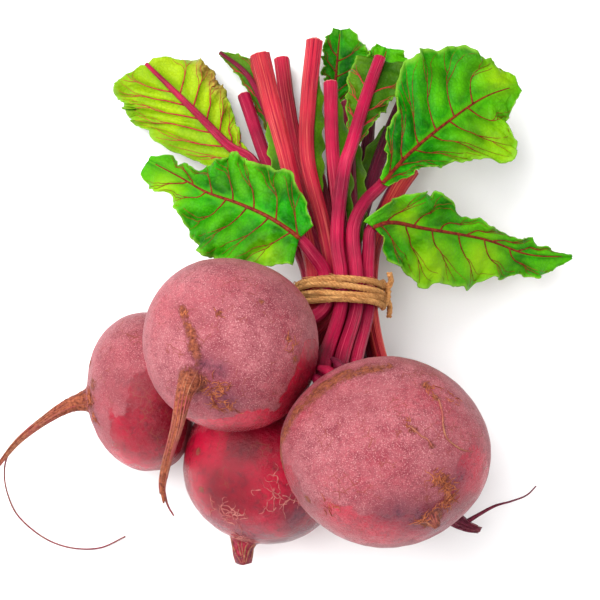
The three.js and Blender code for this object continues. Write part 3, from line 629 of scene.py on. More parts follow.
def remeshed(made, voxel, rounds):
    """The object's own mesh as one even skin, eased, as arrays in layout millimetres."""
    change = made.modifiers.new("skin", "REMESH")
    change.mode = "VOXEL"
    change.voxel_size = voxel * 0.001
    ease = made.modifiers.new("ease", "SMOOTH")
    ease.factor = 0.5
    ease.iterations = rounds
    graph = bpy.context.evaluated_depsgraph_get()
    mesh = bpy.data.meshes.new_from_object(made.evaluated_get(graph))
    points = np.empty(len(mesh.vertices) * 3)
    mesh.vertices.foreach_get("co", points)
    normals = np.empty(len(mesh.vertices) * 3)
    mesh.vertices.foreach_get("normal", normals)
    faces = [tuple(f.vertices) for f in mesh.polygons]
    old = made.data
    bpy.data.objects.remove(made)
    bpy.data.meshes.remove(old)
    bpy.data.meshes.remove(mesh)
    return points.reshape(-1, 3) * 1000 - SHIFT, normals.reshape(-1, 3), faces


SKIN_VOXEL = 0.85
SKIN_EASING = 7
PATCH_EDGE = 1.6  # width of the edge of a bare patch, where the dusty bloom and painted sheen stop
CROWN_STUBS = 14

# Per beet: how much dusty bloom and painted sheen (a pale pink reflection of the lamps) it has, how much of
# that stays on its bare patches, bare patches where the crimson skin shows with their radius, corky bands as
# line, width and level, corky spots, bark on the taproot, bruises, places where hair roots grow with their
# count, reach and lift, torn stalk stubs as path, size and darkness, and thin roots that cling to it.
SKIN = {
    "beet_top_left": dict(
        dust=0.95,
        bare=[((9, -46, 92), 20), ((-9, -61, 90), 17), ((-24, -62, 88), 15), ((-54, -38, 88), 9)],
        bands=[([(-39.5, -17, 115), (-36.7, -24.6, 117.8), (-34.7, -30.1, 118.5),
            (-32.8, -38, 118)], 2.2, 0.95)],
        cork=[((-34.5, -32, 118.5), 3.0), ((-25.4, -19.5, 120.8), 1.4), ((0.5, -28.1, 114.3), 1.5),
            ((3.1, -35.4, 109.9), 1.8), ((-9.6, -14.6, 117.5), 1.3)],
        bruise=[((-30.9, -38, 118.4), 4.5), ((-26, -41, 118.2), 5), ((-24, -50, 112), 8)],
        hairs=[((-28.9, -46.9, 114.3), 22, 5, 0.5), ((-27.5, -53.1, 108.9), 16, 5, 0.5),
            ((-23.6, -47.7, 114.8), 22, 5, 0.4), ((-22.3, -53.2, 109.6), 14, 5, 0.4),
            ((-25.4, -19.5, 120.8), 5, 3, 0.1), ((1.5, -30, 113), 7, 6, 0.1), ((-38, -20, 116), 8, 3, 0.3)],
        clings=[]),
    "beet_left": dict(
        dust=0.8, bare=[((-49, -46, 60), 19), ((-58, -64, 52), 17)],
        cork=[((-82, -43.5, 46), 4.5), ((-79, -38, 50), 3), ((-82, -28, 44), 2)],
        bruise=[((-80, -50, 44), 6)],
        hairs=[((-82, -43, 46), 22, 6, 0.5), ((-79, -50, 46), 12, 5, 0.3)],
        clings=[]),
    "beet_low": dict(
        dust=0.30,
        bare=[((-25, -72, 64), 23), ((-5, -68, 68), 18), ((-38, -76, 46), 14), ((4, -95, 42), 22),
            ((-14, -100, 38), 14)],
        cork=[((-36.4, -65.7, 55.1), 1.8), ((-34.6, -81, 54), 1.6), ((-19, -102, 38), 4)],
        bark=0.3,
        # The spots of this list darken its lower right, where it lies under beet_right, and the base of its
        # taproot to a duller purple.
        bruise=[((-17, -106, 29), 14), ((-28, -92, 42), 8), ((6, -98, 36), 17), ((5, -88, 52), 12),
            ((-12, -97, 46), 9)],
        hairs=[((-28.6, -88.9, 54.3), 12, 8, 0.2), ((-20.4, -93, 56), 16, 9, 0.2),
            ((-5.2, -83.2, 65), 16, 9, 0.1), ((5, -85, 60), 14, 8, 0.1), ((-19, -101, 40), 22, 7, 0.7)],
        clings=[]),
    "beet_right": dict(
        dust=0.98, worn=0.42,
        bare=[((67, -81, 115), 11), ((55, -97, 112), 13), ((36, -101, 113), 14), ((17, -96, 113), 12),
            ((3, -88, 104), 10), ((78, -66, 98), 7)],
        bands=[([(-3, -76, 97), (-2.6, -66, 99.5), (-0.1, -61.2, 106), (5.3, -53.3, 111.4),
            (13.3, -47.3, 115.6), (24.3, -41.9, 117.7), (36, -39.4, 118)], 4.0, 0.9), ([(-2.6, -68, 97),
            (-2, -59.2, 104), (4, -51.3, 109.4), (12, -45.3, 113.6), (22, -40.9, 115)], 3.2, 1.0)],
        cork=[((38.1, -39.2, 117.7), 2.0), ((51.2, -46.9, 123.1), 2.2), ((54.6, -51.6, 125.5), 1.8),
            ((57, -82, 127), 2.6), ((60, -88.3, 120), 2.6), ((46, -64.5, 134), 1.6),
            ((52, -70, 132.5), 1.6), ((7.6, -87.9, 110.7), 2)],
        bruise=[((39.4, -93.8, 123.5), 7), ((48.2, -95.5, 119), 8), ((57.2, -98.4, 106.2), 7),
            ((62, -80, 122), 5)],
        hairs=[((55, -80, 129), 26, 5, 0.5), ((58.3, -84.1, 125), 30, 5, 0.6),
            ((59.9, -88.3, 120), 26, 5, 0.5), ((57, -90.5, 120), 14, 4, 0.4), ((50, -95, 117), 16, 6, 0.2),
            ((53, -48, 123), 10, 6, 0.1), ((44, -63, 134), 10, 3, 0.3), ((16, -91, 118), 8, 5, 0.1),
            ((62, -52, 121), 6, 5, 0.1)],
        stubs=[([(20, -44, 87), (16.5, -37.5, 89), (12, -35.5, 88)], 2.4, 0.0), ([(25, -43, 89),
            (20.5, -35, 90), (17.5, -32, 88)], 2.1, 0.8), ([(15, -46, 91), (12, -41, 90),
            (10, -38.5, 87)], 2.2, 0.4), ([(29, -42, 90), (27, -35.5, 92), (26, -32.5, 91)], 1.6, 0.2)],
        clings=[[(55.6, -52.5, 125.6), (56.7, -57.8, 128.2), (56.6, -62.5, 129.9), (57.7, -66.8, 130.1),
            (63.5, -70.8, 126.3), (68.1, -71.3, 122.1)], [(44, -62.8, 134), (45.8, -64.3, 134),
            (48.5, -66.7, 133.8), (50.5, -67.7, 133.3), (52.7, -70.8, 132.5)]]),
    "beet_hidden": dict(
        dust=0.4, bare=[], bark=0.3, cork=[], bruise=[((72, -92, 23), 14)],
        hairs=[((66, -86, 30), 14, 5, 0.5)], clings=[]),
}


def spots(points, places, level=1.0):
    total = np.zeros(len(points))
    for place, size in places:
        gap = np.linalg.norm(points - np.array(place, float), axis=1)
        total = np.maximum(total, np.exp(-(gap / size) ** 2))
    return level * total


def along_line(points, line, width):
    """How near points lie to a line through places, from 1 on it to 0 beyond its width."""
    curve = Curve(line, 200)
    gap = np.full(len(points), 1e9)
    for place in curve.point(np.linspace(0, 1, 40)):
        gap = np.minimum(gap, np.linalg.norm(points - place, axis=1))
    return np.exp(-(gap / width) ** 2)


def beet_skin(name, beet, tail):
    """A beet and its taproot as one lumpy skin: points, faces, how far each point is taproot, two noises."""
    rough = Build()
    rough.rings(beet_rings(beet, 48, 72))
    radii = [t[3] for t in beet["tail"]]
    rough.tube(tail, radii, 16, 40)
    points, normals, faces = remeshed(rough.made(name + "_rough", [BEET]), SKIN_VOXEL, SKIN_EASING)
    near = np.full(len(points), 1e9)
    along = np.zeros(len(points))
    for share in np.linspace(0, 1, 60):
        gap = np.linalg.norm(points - tail.point(share), axis=1)
        along = np.where(gap < near, share, along)
        near = np.minimum(near, gap)
    radius = np.interp(along, np.linspace(0, 1, len(radii)), radii)
    on_tail = smooth(1 - (near - radius - 0.6) / 2.5) * smooth(along / tail.share_of(1) * 1.3 + 0.15)
    low = noise_at(points, 0.05, 3.1 + len(name))
    mid = noise_at(points, 0.22, 7.7)
    share = ((points - np.array(beet["middle"])) @ unit(beet["root"])) / beet["length"] + 0.5
    by_ends = smooth((0.22 - share) / 0.2) + 0.6 * smooth((share - 0.86) / 0.1)
    creases = np.sin(share * 70 + 5 * low) * by_ends
    lift = 0.35 * low + 0.16 * mid + 0.16 * creases * (1 - on_tail)
    lift = lift + on_tail * (0.35 * noise_at(points, 0.7, 1.3) - 0.05)
    points = points + normals * lift[:, None]
    points[:, 2] = np.maximum(points[:, 2], 0.0)
    return points, faces, on_tail, low, mid


def skin_tags(points, skin, on_tail, low, mid):
    """How much dusty bloom and painted sheen, cork and bruise a beet has at each point."""
    warp = 6.5 * noise_at(points, 0.06, 4.4) + 3.0 * noise_at(points, 0.16, 6.6)
    warp = warp + 1.2 * noise_at(points, 0.5, 2.2)
    # Where the pale pink layer lies: a dusty bloom and painted sheen, a painted reflection of the lamps, cut
    # off at the bare patches.
    dust = np.full(len(points), 1.0)
    for place, size in skin["bare"]:
        gap = np.linalg.norm(points - np.array(place, float), axis=1)
        dust = np.minimum(dust, smooth((gap + warp - size) / PATCH_EDGE + 0.5))
    worn = skin.get("worn", 0.14)
    dust = skin["dust"] * (worn + (1 - worn) * dust) * (0.9 + 0.3 * low)
    cork = np.maximum(spots(points, skin["cork"], 0.92), on_tail * skin.get("bark", 0.95))
    for line, width, level in skin.get("bands", []):
        cork = np.maximum(cork, level * along_line(points, line, width) * (0.85 + 0.5 * mid))
    return dict(dust=dust, cork=cork, bruise=spots(points, skin["bruise"], 0.85))


def make_beet(name):
    beet, skin = BEETS[name], SKIN[name]
    tail = Curve(beet["tail"])
    points, faces, on_tail, low, mid = beet_skin(name, beet, tail)
    build = Build()
    build.add(points, faces, points[:, :2] * 0.01, 0, **skin_tags(points, skin, on_tail, low, mid))
    crimson = 1.0 if name == "beet_hidden" else 0.0
    for rootlet in beet["rootlets"]:
        size = [r[3] * (0.7 if r[3] < 0.65 else 0.9) for r in rootlet]
        build.tube(Curve(rootlet), size, 8, 26 * len(rootlet) // 2, 1, bruise=max(crimson, 0.6))
    tree = BVHTree.FromPolygons([tuple(p) for p in points], faces)
    rng = random.Random(len(name) * 13 + 5)
    add_fibres(build, beet, tail, rng, crimson)
    add_crown(build, beet, tree, rng)
    for path, size, dark in skin.get("stubs", []):
        build.tube(Curve(path, 80), [size * 1.2, size, size * 0.9, size * 0.45], 12, 14, 3, dark=dark)
    for path in skin["clings"]:
        found = [tree.find_nearest(Vector(p)) for p in path]
        line = [tuple(f[0] + f[1] * 0.25) for f in found]
        build.tube(Curve(line, 120), [0.42, 0.4, 0.34, 0.2], 6, 40, 1)
    for place, count, reach, lift in skin["hairs"]:
        for _ in range(count):
            add_hair(build, tree, rng, place, reach, lift, 1.0 if name == "beet_low" else 0.0)
    made = build.made(name + "_skin", [BEET, ROOT, HAIR, STALK])
    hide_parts(name)
    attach(made, "root")


def add_crown(build, beet, tree, rng):
    """Short torn stubs of old leaf stalks round the crown."""
    axis = unit(beet["root"])
    crown = np.array(beet["middle"], float) - axis * beet["length"] / 2
    side, normal = frames(axis[None], (0.3, 0.2, 1))
    for k in range(CROWN_STUBS):
        turn = 2 * math.pi * k / CROWN_STUBS + rng.uniform(-0.2, 0.2)
        out = side[0] * math.cos(turn) + normal[0] * math.sin(turn)
        foot = tree.find_nearest(Vector(crown + out * rng.uniform(8, 13)))
        foot, up = np.array(foot[0]), np.array(foot[1])
        way = unit(up * 0.8 - axis * 0.7 + out * rng.uniform(-0.4, 0.3))
        reach = rng.uniform(2.5, 6)
        path = [foot - up, foot + way * reach * 0.5, foot + way * reach - axis * rng.uniform(0, 2)]
        size = rng.uniform(1.1, 1.9)
        build.tube(Curve(path, 60), [size * 1.3, size, size * 0.55], 8, 8, 3, dark=rng.choice([0, 0.3, 0.8]))


def add_fibres(build, beet, tail, rng, crimson):
    """Stringy strands that run down the outside of the taproot."""
    radii = [t[3] for t in beet["tail"]]
    for k in range(16):
        first, last = rng.uniform(0.02, 0.35), rng.uniform(0.75, 0.98)
        share = np.linspace(first, last, 14)
        centre, way = tail.point(share), tail.tangent(share)
        side, normal = frames(way, (0.3, 0.2, 1))
        turn = 2 * math.pi * k / 16 + rng.uniform(-0.2, 0.2) + (share - first) * rng.uniform(-1.6, 1.6)
        size = np.interp(share, np.linspace(0, 1, len(radii)), radii) * 0.97
        path = centre + (side * np.cos(turn)[:, None] + normal * np.sin(turn)[:, None]) * size[:, None]
        if path[:, 2].min() < 0.6:
            continue
        thick = rng.uniform(0.22, 0.42) * min(1.0, radii[1] / 3.5)
        build.tube(Curve(path, 300), [thick * 0.6, thick, thick, thick * 0.5], 5, 30, 1, bruise=crimson)


def add_hair(build, tree, rng, place, reach, high, pale):
    at = Vector(place) + Vector([rng.gauss(0, 0.28 * reach) for _ in range(3)])
    found = tree.find_nearest(at)
    at, up = found[0], found[1]
    way = Vector([rng.gauss(0, 1) for _ in range(3)])
    path = []
    steps = rng.randint(5, 9)
    lift = rng.choice([0.02, 0.3, 1.0, 2.2]) * high
    for k in range(steps):
        way = (way - up * way.dot(up)).normalized() + 0.55 * Vector([rng.gauss(0, 1) for _ in range(3)])
        target = at + way.normalized() * (reach * rng.uniform(0.7, 1.3) / steps)
        found = tree.find_nearest(target)
        at, up = found[0], found[1]
        path.append(tuple(at + up * (0.05 + lift * k / steps)))
    if min(p[2] for p in path) < 0.4:
        return
    thick = rng.uniform(0.12, 0.27)
    build.tube(Curve(path, 60), [thick, thick * 0.8, thick * 0.3], 4, 3 * steps, 2, dust=pale)


# Stalks and leaves
def blade_start(name):
    stalk, curve = STALKS[name], stalk_curve(name)
    return curve.share_of(len(curve.points) - len(stalk["beyond"]) + stalk["leaf"]["starts"])


def left_tie(curve):
    share = np.linspace(0, 1, 400)
    return float(share[np.argmax(curve.point(share)[:, 1] >= TIE_HALF)])


def stalk_size(name, curve, share):
    stalk = STALKS[name]
    left = left_tie(curve)
    start = STALK_RADIUS + 0.3 * np.maximum(0, 1 - share / (0.6 * left))
    begin = max(left, blade_start(name) - 0.1) if "leaf" in stalk else left
    out = np.clip((share - begin) / (1 - begin), 0, 1)
    return lerp(start, stalk["ends"][0], out), lerp(start, stalk["ends"][1], out)


# How orange and how dark a stalk is, where it isn't plain red; the darkness is partly deep purple colour
# and partly painted shade on stalks that lie under the others.
TINT = {
    "stalk_a": (0.6, 0), "stalk_b": (0.5, 0), "stalk_e": (0.1, 0), "stalk_g": (0.85, 0), "stalk_h": (0, 0.45),
    "stalk_k": (0, 0.4), "stalk_l": (0.15, 0.35), "stalk_m": (0.35, 0), "stalk_n": (0, 0.6),
    "stalk_o": (0, 0.5), "stalk_p": (0, 0.95), "stalk_q": (0, 0.95), "stalk_r": (0, 0.6),
}
STALK_STEPS, STALK_SIDES = ((110, 36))

# Strips of torn blade left along cut stalks: the side they are on (1 is left), where they start and end along
# the stalk, and their width.
STRIPS = {
    "stalk_a": [(1, 0.54, 0.80, 5.0)],
    "stalk_b": [(-1, 0.56, 0.90, 6.0)],
    "stalk_e": [(-1, 0.56, 0.95, 6.5)],
    "stalk_h": [(-1, 0.54, 0.90, 6.0)],
    "stalk_p": [(1, 0.52, 0.88, 7.0)],
}


def add_strip(build, name, curve, way, first, last, width):
    share = np.linspace(first, last, 60)
    side, normal = frames(curve.tangent(share), (0, 0, 1))
    t = (share - first) / (last - first)
    seed = sum(map(ord, name))
    reach = width * np.sin(math.pi * np.clip(t, 0.02, 0.98)) ** 0.6 * (0.85 + 0.15 * np.sin(31 * t + seed))
    w = np.concatenate([np.linspace(0, 1, 7), np.linspace(1, 0, 7)])
    face = np.concatenate([np.full(7, 0.18), np.full(7, -0.18)])
    out = stalk_size(name, curve, share)[0][:, None] * 0.85 + 0.9 * reach[:, None] * w
    ruffle = 0.22 * np.sin(24 * t + seed)[:, None] * w
    drop = reach[:, None] * (ruffle - 0.5 * w ** 1.5) + face
    rings = (curve.point(share)[:, None] + way * side[:, None] * out[..., None]
             + normal[:, None] * drop[..., None])
    across = np.broadcast_to(w, drop.shape).ravel()
    # The crest tag paints a highlight that grows towards the strip's outer side.
    build.rings(rings, 2, crest=0.25 + 0.5 * across, edge=smooth((across - 0.8) / 0.2))


def make_stalk(name):
    stalk = STALKS[name]
    curve = stalk_curve(name)
    hint = stalk["leaf"]["face"] if "leaf" in stalk else (0, 0, 1)
    share = np.linspace(0, 1, STALK_STEPS)
    centre, tangent = curve.point(share), curve.tangent(share)
    side, normal = frames(tangent, hint)
    wide, thick = stalk_size(name, curve, share)
    angle = 2 * math.pi * np.arange(STALK_SIDES) / STALK_SIDES
    phase = sum(map(ord, name)) * 0.7
    depth = np.clip(thick / STALK_RADIUS, 0, 1)[:, None]
    ribs = 1 - 0.045 * depth * (1 + np.sin(8 * angle[None] + phase + 1.5 * share[:, None]))
    ribs = ribs - 0.03 * depth * np.sin(13 * angle[None] - phase)
    rings = (centre[:, None] + side[:, None] * (wide[:, None] * ribs * np.cos(angle))[..., None]
             + normal[:, None] * (thick[:, None] * ribs * np.sin(angle))[..., None])
    u, v = np.meshgrid(0.5 + 0.5 * np.sin(angle / 2 - 0.3), share * curve.length / 60)
    warm, dark = TINT.get(name, (0.0, 0.0))
    build = Build()
    build.rings(rings, 0, caps=False, uv=np.stack([u + phase, v], -1), warm=warm, dark=dark)
    if "leaf" not in stalk:
        last, way = rings[-1], tangent[-1]
        levels = [(1.0, 0.0), (0.97, 0.25), (0.86, 0.32), (0.6, 0.05), (0.25, -0.1), (0.02, -0.12)]
        cap = [centre[-1] + (last - centre[-1]) * s + way * d for s, d in levels]
        build.rings(cap, 1, caps=True)
    for strip in STRIPS.get(name, []):
        add_strip(build, name, curve, *strip)
    made = build.made(name + "_fine", [STALK, CUT, LEAF_SHADE])
    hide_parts(name)
    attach(made, "root")


SWEEP = 0.2  # how far a side vein runs on towards the tip, as a share of the blade
BIG_REACH = 15  # a blade that reaches further than this to a side has more veins and a finer grid
FINE_GRID = (150, 81)
PLAIN_GRID = (70, 41)
RIB_HALF = 0.28  # half the thickness of a blade at its rib
EDGE_THINNER = 0.1  # how much less that half is at the margin


def noise_grid(shape, across, along, seed):
    """Smooth noise over a grid that spans so many cells across and along."""
    rng = np.random.default_rng(seed)
    cells = rng.uniform(-1, 1, (int(along) + 3, int(across) + 3))
    i = np.linspace(0, along, shape[0])
    j = np.linspace(0, across, shape[1])
    a, b = i.astype(int), j.astype(int)
    x, y = smooth(i - a)[:, None], smooth(j - b)[None]
    top = cells[a][:, b] * (1 - y) + cells[a][:, b + 1] * y
    low = cells[a + 1][:, b] * (1 - y) + cells[a + 1][:, b + 1] * y
    return top * (1 - x) + low * x


def margin(leaf, share, column, seed, rng):
    """How far a blade reaches to one side at each share of its length, with its teeth."""
    outline = np.array(leaf["outline"], float)
    full = np.interp(share, outline[:, 0], outline[:, column + 1])
    soft = np.convolve(np.pad(full, 3, mode="edge"), np.ones(7) / 7, "valid")
    jag = np.interp(share * 34, np.arange(36), rng.uniform(-1, 1, 36))
    jag += 0.8 * np.sin(share * 44 + seed + 3 * column)
    bites = np.interp(share * 20, np.arange(22), rng.uniform(0, 1, 22))
    jag += 0.35 * np.abs(np.sin(share * 60 + seed)) * bites
    jag += 0.35 * np.interp(share * 80, np.arange(82), rng.uniform(-1, 1, 82))
    room = np.minimum(1, np.minimum(share * 6, (1 - share) * 6 + 0.2))
    return np.maximum(0.6, soft + np.where(soft > 3, leaf["teeth"] * jag * room, 0))


def ruffles(leaf, share, column, half, w, seed):
    """How far one side of a blade rises off its plane: its cup, its slow waves and its frilled margin."""
    swing = 2 * math.pi * leaf["waves"] * share + 2 * column
    small = np.minimum(1, half / 8)
    beat = share * (44 + 5 * np.sin(share * 9 + seed)) + seed + 3 * column
    slow = leaf["cup"] * half + leaf["wave"] * np.sin(swing) * small
    frill = 1.9 * small * np.sin(beat) * (0.7 + 0.3 * np.sin(share * 17))
    crimp = 0.7 * small * np.sin(beat * 2.7 + 1)
    return slow[:, None] * w ** 2 + frill[:, None] * w ** 3 + crimp[:, None] * w ** 6


def puckers(leaf, share, u, crest, seed):
    """How far a blade swells between its veins."""
    outline = np.array(leaf["outline"], float)
    room = np.interp(share, outline[:, 0], np.minimum(outline[:, 1], outline[:, 2]))
    away = np.abs(u)[None]
    amp = np.clip(room / 14, 0.25, 1)[:, None] * smooth(away * 3.5) * (1 - 0.4 * away ** 3)
    pucker = 2.0 * (crest - 0.5) + 0.25 * noise_grid(crest.shape, 26, 34, seed + 1)
    pucker = (pucker + 1.0 * noise_grid(crest.shape, 7, 9, seed + 2)) * amp
    return -pucker if leaf["rib"] == "over" else pucker


def blade_surface(name, rows, columns):
    """Points of a blade's middle sheet, the way up, its vein map and its distance from the rib."""
    leaf = STALKS[name]["leaf"]
    curve = stalk_curve(name)
    share = np.linspace(0, 1, rows)
    at = lerp(blade_start(name), 1.0, share)
    centre, direction = curve.point(at), curve.tangent(at)
    side, normal = frames(direction, leaf["face"])
    depth = stalk_size(name, curve, at)[1] + BLADE_THICKNESS / 2
    clear = -depth if leaf["rib"] == "over" else depth
    u = np.linspace(-1, 1, columns)
    seed = sum(map(ord, name))
    rng = np.random.default_rng(seed)
    points = np.zeros((rows, columns, 3))
    vein = np.zeros((rows, columns))
    for column in (0, 1):
        mine = (u < 0) if column == 0 else (u >= 0)
        w = np.abs(u[mine])[None]
        half = margin(leaf, share, column, seed, rng)
        lean = lerp(leaf["lean"][column][0], leaf["lean"][column][1], np.minimum(1, share / 0.4))
        lift = clear[:, None] + ruffles(leaf, share, column, half, w, seed)
        sign = -1.0 if column == 0 else 1.0
        sideways = (sign * half * np.cos(lean))[:, None] * w
        onward = (half * np.sin(lean))[:, None] * w
        points[:, mine] = (centre[:, None] - side[:, None] * sideways[..., None]
                           + direction[:, None] * onward[..., None] + normal[:, None] * lift[..., None])
        roots = vein_roots(leaf, column)
        where = np.stack([share[:, None] - (r + SWEEP * w ** 1.3) for r in roots], -1)
        spacing = 1.0 / (len(roots) + 0.5)
        vein[:, mine] = np.clip(np.min(np.abs(where), -1) / (spacing * 0.5), 0, 1)
    crest = np.sin(vein * math.pi / 2) ** 0.8
    up = unit(np.cross(np.gradient(points, axis=1), np.gradient(points, axis=0)))
    if np.mean(np.sum(up * normal[:, None], -1)) < 0:
        up = -up
    points = points + up * puckers(leaf, share, u, crest, seed)[..., None]
    return points, up, crest, np.broadcast_to(np.abs(u)[None], (rows, columns))


def vein_roots(leaf, column):
    count = 6 if max(o[column + 1] for o in leaf["outline"]) > BIG_REACH else 4
    return [0.01 + (0.80 / count) * (k + 0.3 * (column == 0)) for k in range(count)]


def sample(grid, share, w):
    """Bilinear value of a grid at shares along and w from -1 to 1 across."""
    rows, columns = grid.shape[:2]
    i = np.clip(np.asarray(share) * (rows - 1), 0, rows - 1.001)
    j = np.clip((np.asarray(w) + 1) / 2 * (columns - 1), 0, columns - 1.001)
    a, b = i.astype(int), j.astype(int)
    x, y = (i - a)[..., None], (j - b)[..., None]
    return (grid[a, b] * (1 - x) * (1 - y) + grid[a + 1, b] * x * (1 - y)
            + grid[a, b + 1] * (1 - x) * y + grid[a + 1, b + 1] * x * y)


# Per blade: the material of the side that faces up, of the side that faces down and of its veins.
LOOK = {
    "leaf_left_front": (LEAF_TOP, LEAF_UNDER, VEIN_DARK),
    "leaf_right_back": (LEAF_TOP, LEAF_UNDER, VEIN_DARK),
    "leaf_right_front": (LEAF_TOP, LEAF_UNDER, VEIN_DARK),
    "leaf_back_middle": (LEAF_TOP, LEAF_UNDER, VEIN_DARK),
    "leaf_back_right": (LEAF_TOP, LEAF_UNDER, VEIN_DARK),
    "leaf_middle": (LEAF_SHADE, LEAF_TOP, VEIN_PINK),
    "leaf_left_back": (LEAF_UNDER, LEAF_TOP, VEIN_PINK),
    "leaf_left_small": (LEAF_SHADE, LEAF_TOP, VEIN_PINK),
}


def make_blade(name):
    leaf = STALKS[name]["leaf"]
    big = max(max(o[1:]) for o in leaf["outline"]) > BIG_REACH
    rows, columns = FINE_GRID if big else PLAIN_GRID
    points, up, crest, edge = blade_surface(name, rows, columns)
    thin = RIB_HALF - EDGE_THINNER * edge ** 2
    top = points + up * thin[..., None]
    low = points - up * thin[..., None]
    u, v = np.meshgrid(np.linspace(0, 1, columns), np.linspace(0, 1, rows))
    uv = np.stack([u, v], -1).reshape(-1, 2)
    upper = []
    for i in range(rows - 1):
        for j in range(columns - 1):
            a = i * columns + j
            upper.append((a, a + 1, a + columns + 1, a + columns))
    normal_way = np.sum(np.cross(top[1, 1] - top[1, 0], top[2, 1] - top[1, 1]) * up[1, 1])
    if normal_way < 0:
        upper = [tuple(reversed(f)) for f in upper]
    lower = [tuple(reversed(f)) for f in upper]
    flat = points.reshape(-1, 3)
    shade = dict(yellow=yellowed(leaf["name"], flat), crest=(crest * smooth(edge * 3)).ravel(),
                 edge=smooth((edge - 0.9) / 0.1).ravel(), near_rib=0.5 * smooth(1 - edge / 0.06).ravel(),
                 withered=withered(leaf["name"], flat, edge.ravel()))
    build = Build()
    build.add(top.reshape(-1, 3), upper, uv, 0, **shade)
    build.add(low.reshape(-1, 3), lower, uv, 1, **shade)
    border = ([j for j in range(columns - 1)] + [i * columns + columns - 1 for i in range(rows - 1)]
              + [(rows - 1) * columns + j for j in range(columns - 1, 0, -1)]
              + [i * columns for i in range(rows - 1, 0, -1)])
    total = rows * columns
    strip = []
    for k, a in enumerate(border):
        b = border[(k + 1) % len(border)]
        strip.append((a, a + total, b + total, b) if normal_way >= 0 else (a, b, b + total, a + total))
    build.faces += strip
    build.slots += [0] * len(strip)
    add_veins(build, leaf, points, up)
    made = build.made(leaf["name"] + "_fine", list(LOOK[leaf["name"]]))
    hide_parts(leaf["name"])
    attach(made, "root")


def yellowed(name, points):
    """Where a blade turns yellow."""
    places = {"leaf_right_back": [((93, 64, 42), 15), ((80, 59, 44), 9), ((92, 98, 40), 9)],
              "leaf_right_front": [((60, 12, 45), 12), ((84, 18, 34), 10), ((48, 30, 54), 8)],
              "leaf_left_front": [((-52, 44, 48), 9), ((-8, 12, 66), 7)]}
    return spots(points, places.get(name, []), 1.0)


def withered(name, points, edge):
    """Where a blade is brown and dry."""
    if name == "leaf_left_back":
        spot = np.exp(-(np.linalg.norm(points - np.array([-31, 108, 20]), axis=1) / 12) ** 2)
        return np.clip(spot * smooth((edge - 0.55) / 0.3) * 1.4, 0, 1)
    return np.zeros(len(points))


def add_veins(build, leaf, points, up):
    """The midrib's line and the side veins with their forks, as fine raised cords on both faces."""
    shown = points + up * 0.24
    for sheet, strength in ((shown, 1.0), (points - up * 0.24, 0.8)):
        share = np.linspace(0.0, 0.98, 60)
        path = sample(sheet, share, np.zeros(60))
        if leaf["rib"] == "under" and sheet is shown:
            build.tube(Curve(path[::3]), [1.0, 0.75, 0.5, 0.25], 8, 60, 2)
        for column in (0, 1):
            sign = -1 if column == 0 else 1
            for r in vein_roots(leaf, column):
                reach = 0.9 if r < 0.8 else 0.7
                w = np.linspace(0.0, reach, 22)
                line = np.clip(r + SWEEP * w ** 1.3, 0, 0.99)
                path = sample(sheet, line, sign * w)
                size = np.array([0.46, 0.32, 0.2, 0.1]) * strength
                build.tube(Curve(path), size, 6, 24, 2)
                for fork, turn in ((0.42, 0.055), (0.6, -0.05)):
                    t = np.linspace(0, 1, 10)
                    fw = fork + t * (0.93 - fork)
                    fl = np.clip(r + SWEEP * fw ** 1.3 + turn * t ** 0.8, 0, 0.99)
                    path = sample(sheet, fl, sign * fw)
                    build.tube(Curve(path, 200), np.array([0.2, 0.14, 0.07]) * strength, 5, 12, 2)


# Twine
PLY_TURN = 5.2  # length along the twine in which a ply goes once round it
STRAY_FIBRES = 420


def make_twine():
    reach = RING_RADII[2] + STALK_RADIUS + 2 * CONTACT_GAP + TWINE_RADIUS
    half = TWINE_TURNS * TWINE_PITCH / 2
    outer = TIE[0] + reach
    build = Build()
    angle = np.linspace(0, 2 * math.pi * TWINE_TURNS, 60 * TWINE_TURNS + 1)
    wander = 0.75 * np.sin(angle * 1.3 + 1) + 0.35 * np.sin(angle * 3.1)
    share = angle / angle[-1]
    along = (share - 0.5) * TWINE_TURNS * TWINE_PITCH + wander * np.sin(np.pi * share)
    wraps = TIE + np.stack([np.cos(angle) * reach, along, np.sin(angle) * reach], -1)
    lay(build, wraps, TWINE_RADIUS)
    level = TIE[2]
    across = [[outer - 0.3, -half, level], [outer + 1.8, -half * 0.4, level + 0.8],
              [outer + 2, half * 0.4, level + 1], [outer - 0.3, half, level]]
    upper = [[outer + 1.6, half * 0.3, level + 1], [outer + 3.2, half * 0.9, level + 4],
             [outer + 2.4, half * 1.4, level + 8]]
    lower = [[outer + 1.6, -half * 0.3, level + 1], [outer + 3, -half * 0.8, level - 3],
             [outer + 3, -half * 1.5, level - 7]]
    for points, size in ((across, 1.4), (upper, 1.2), (lower, 1.2)):
        lay(build, Curve(points, 400).point(np.linspace(0, 1, 40)), size)
    rng = random.Random(4)
    for _ in range(STRAY_FIBRES):
        k = rng.randrange(len(wraps) - 12)
        a, b = wraps[k], wraps[k + rng.randint(4, 11)]
        out = unit(a - TIE) * [1, 0, 1]
        lift = rng.uniform(0.6, 2.4)
        mid = (a + b) / 2 + out * (TWINE_RADIUS + lift * 0.5) + np.array([0, rng.uniform(-1.5, 1.5), 0])
        end = b + out * (TWINE_RADIUS + lift * rng.uniform(-0.4, 0.8)) + np.array([0, rng.uniform(-2, 2), 0])
        build.tube(Curve([a + out * TWINE_RADIUS * 0.8, mid, end], 60), [0.17, 0.15, 0.07], 4, 9)
    made = build.made("twine_fine", [TWINE])
    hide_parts("twine")
    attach(made, "root")


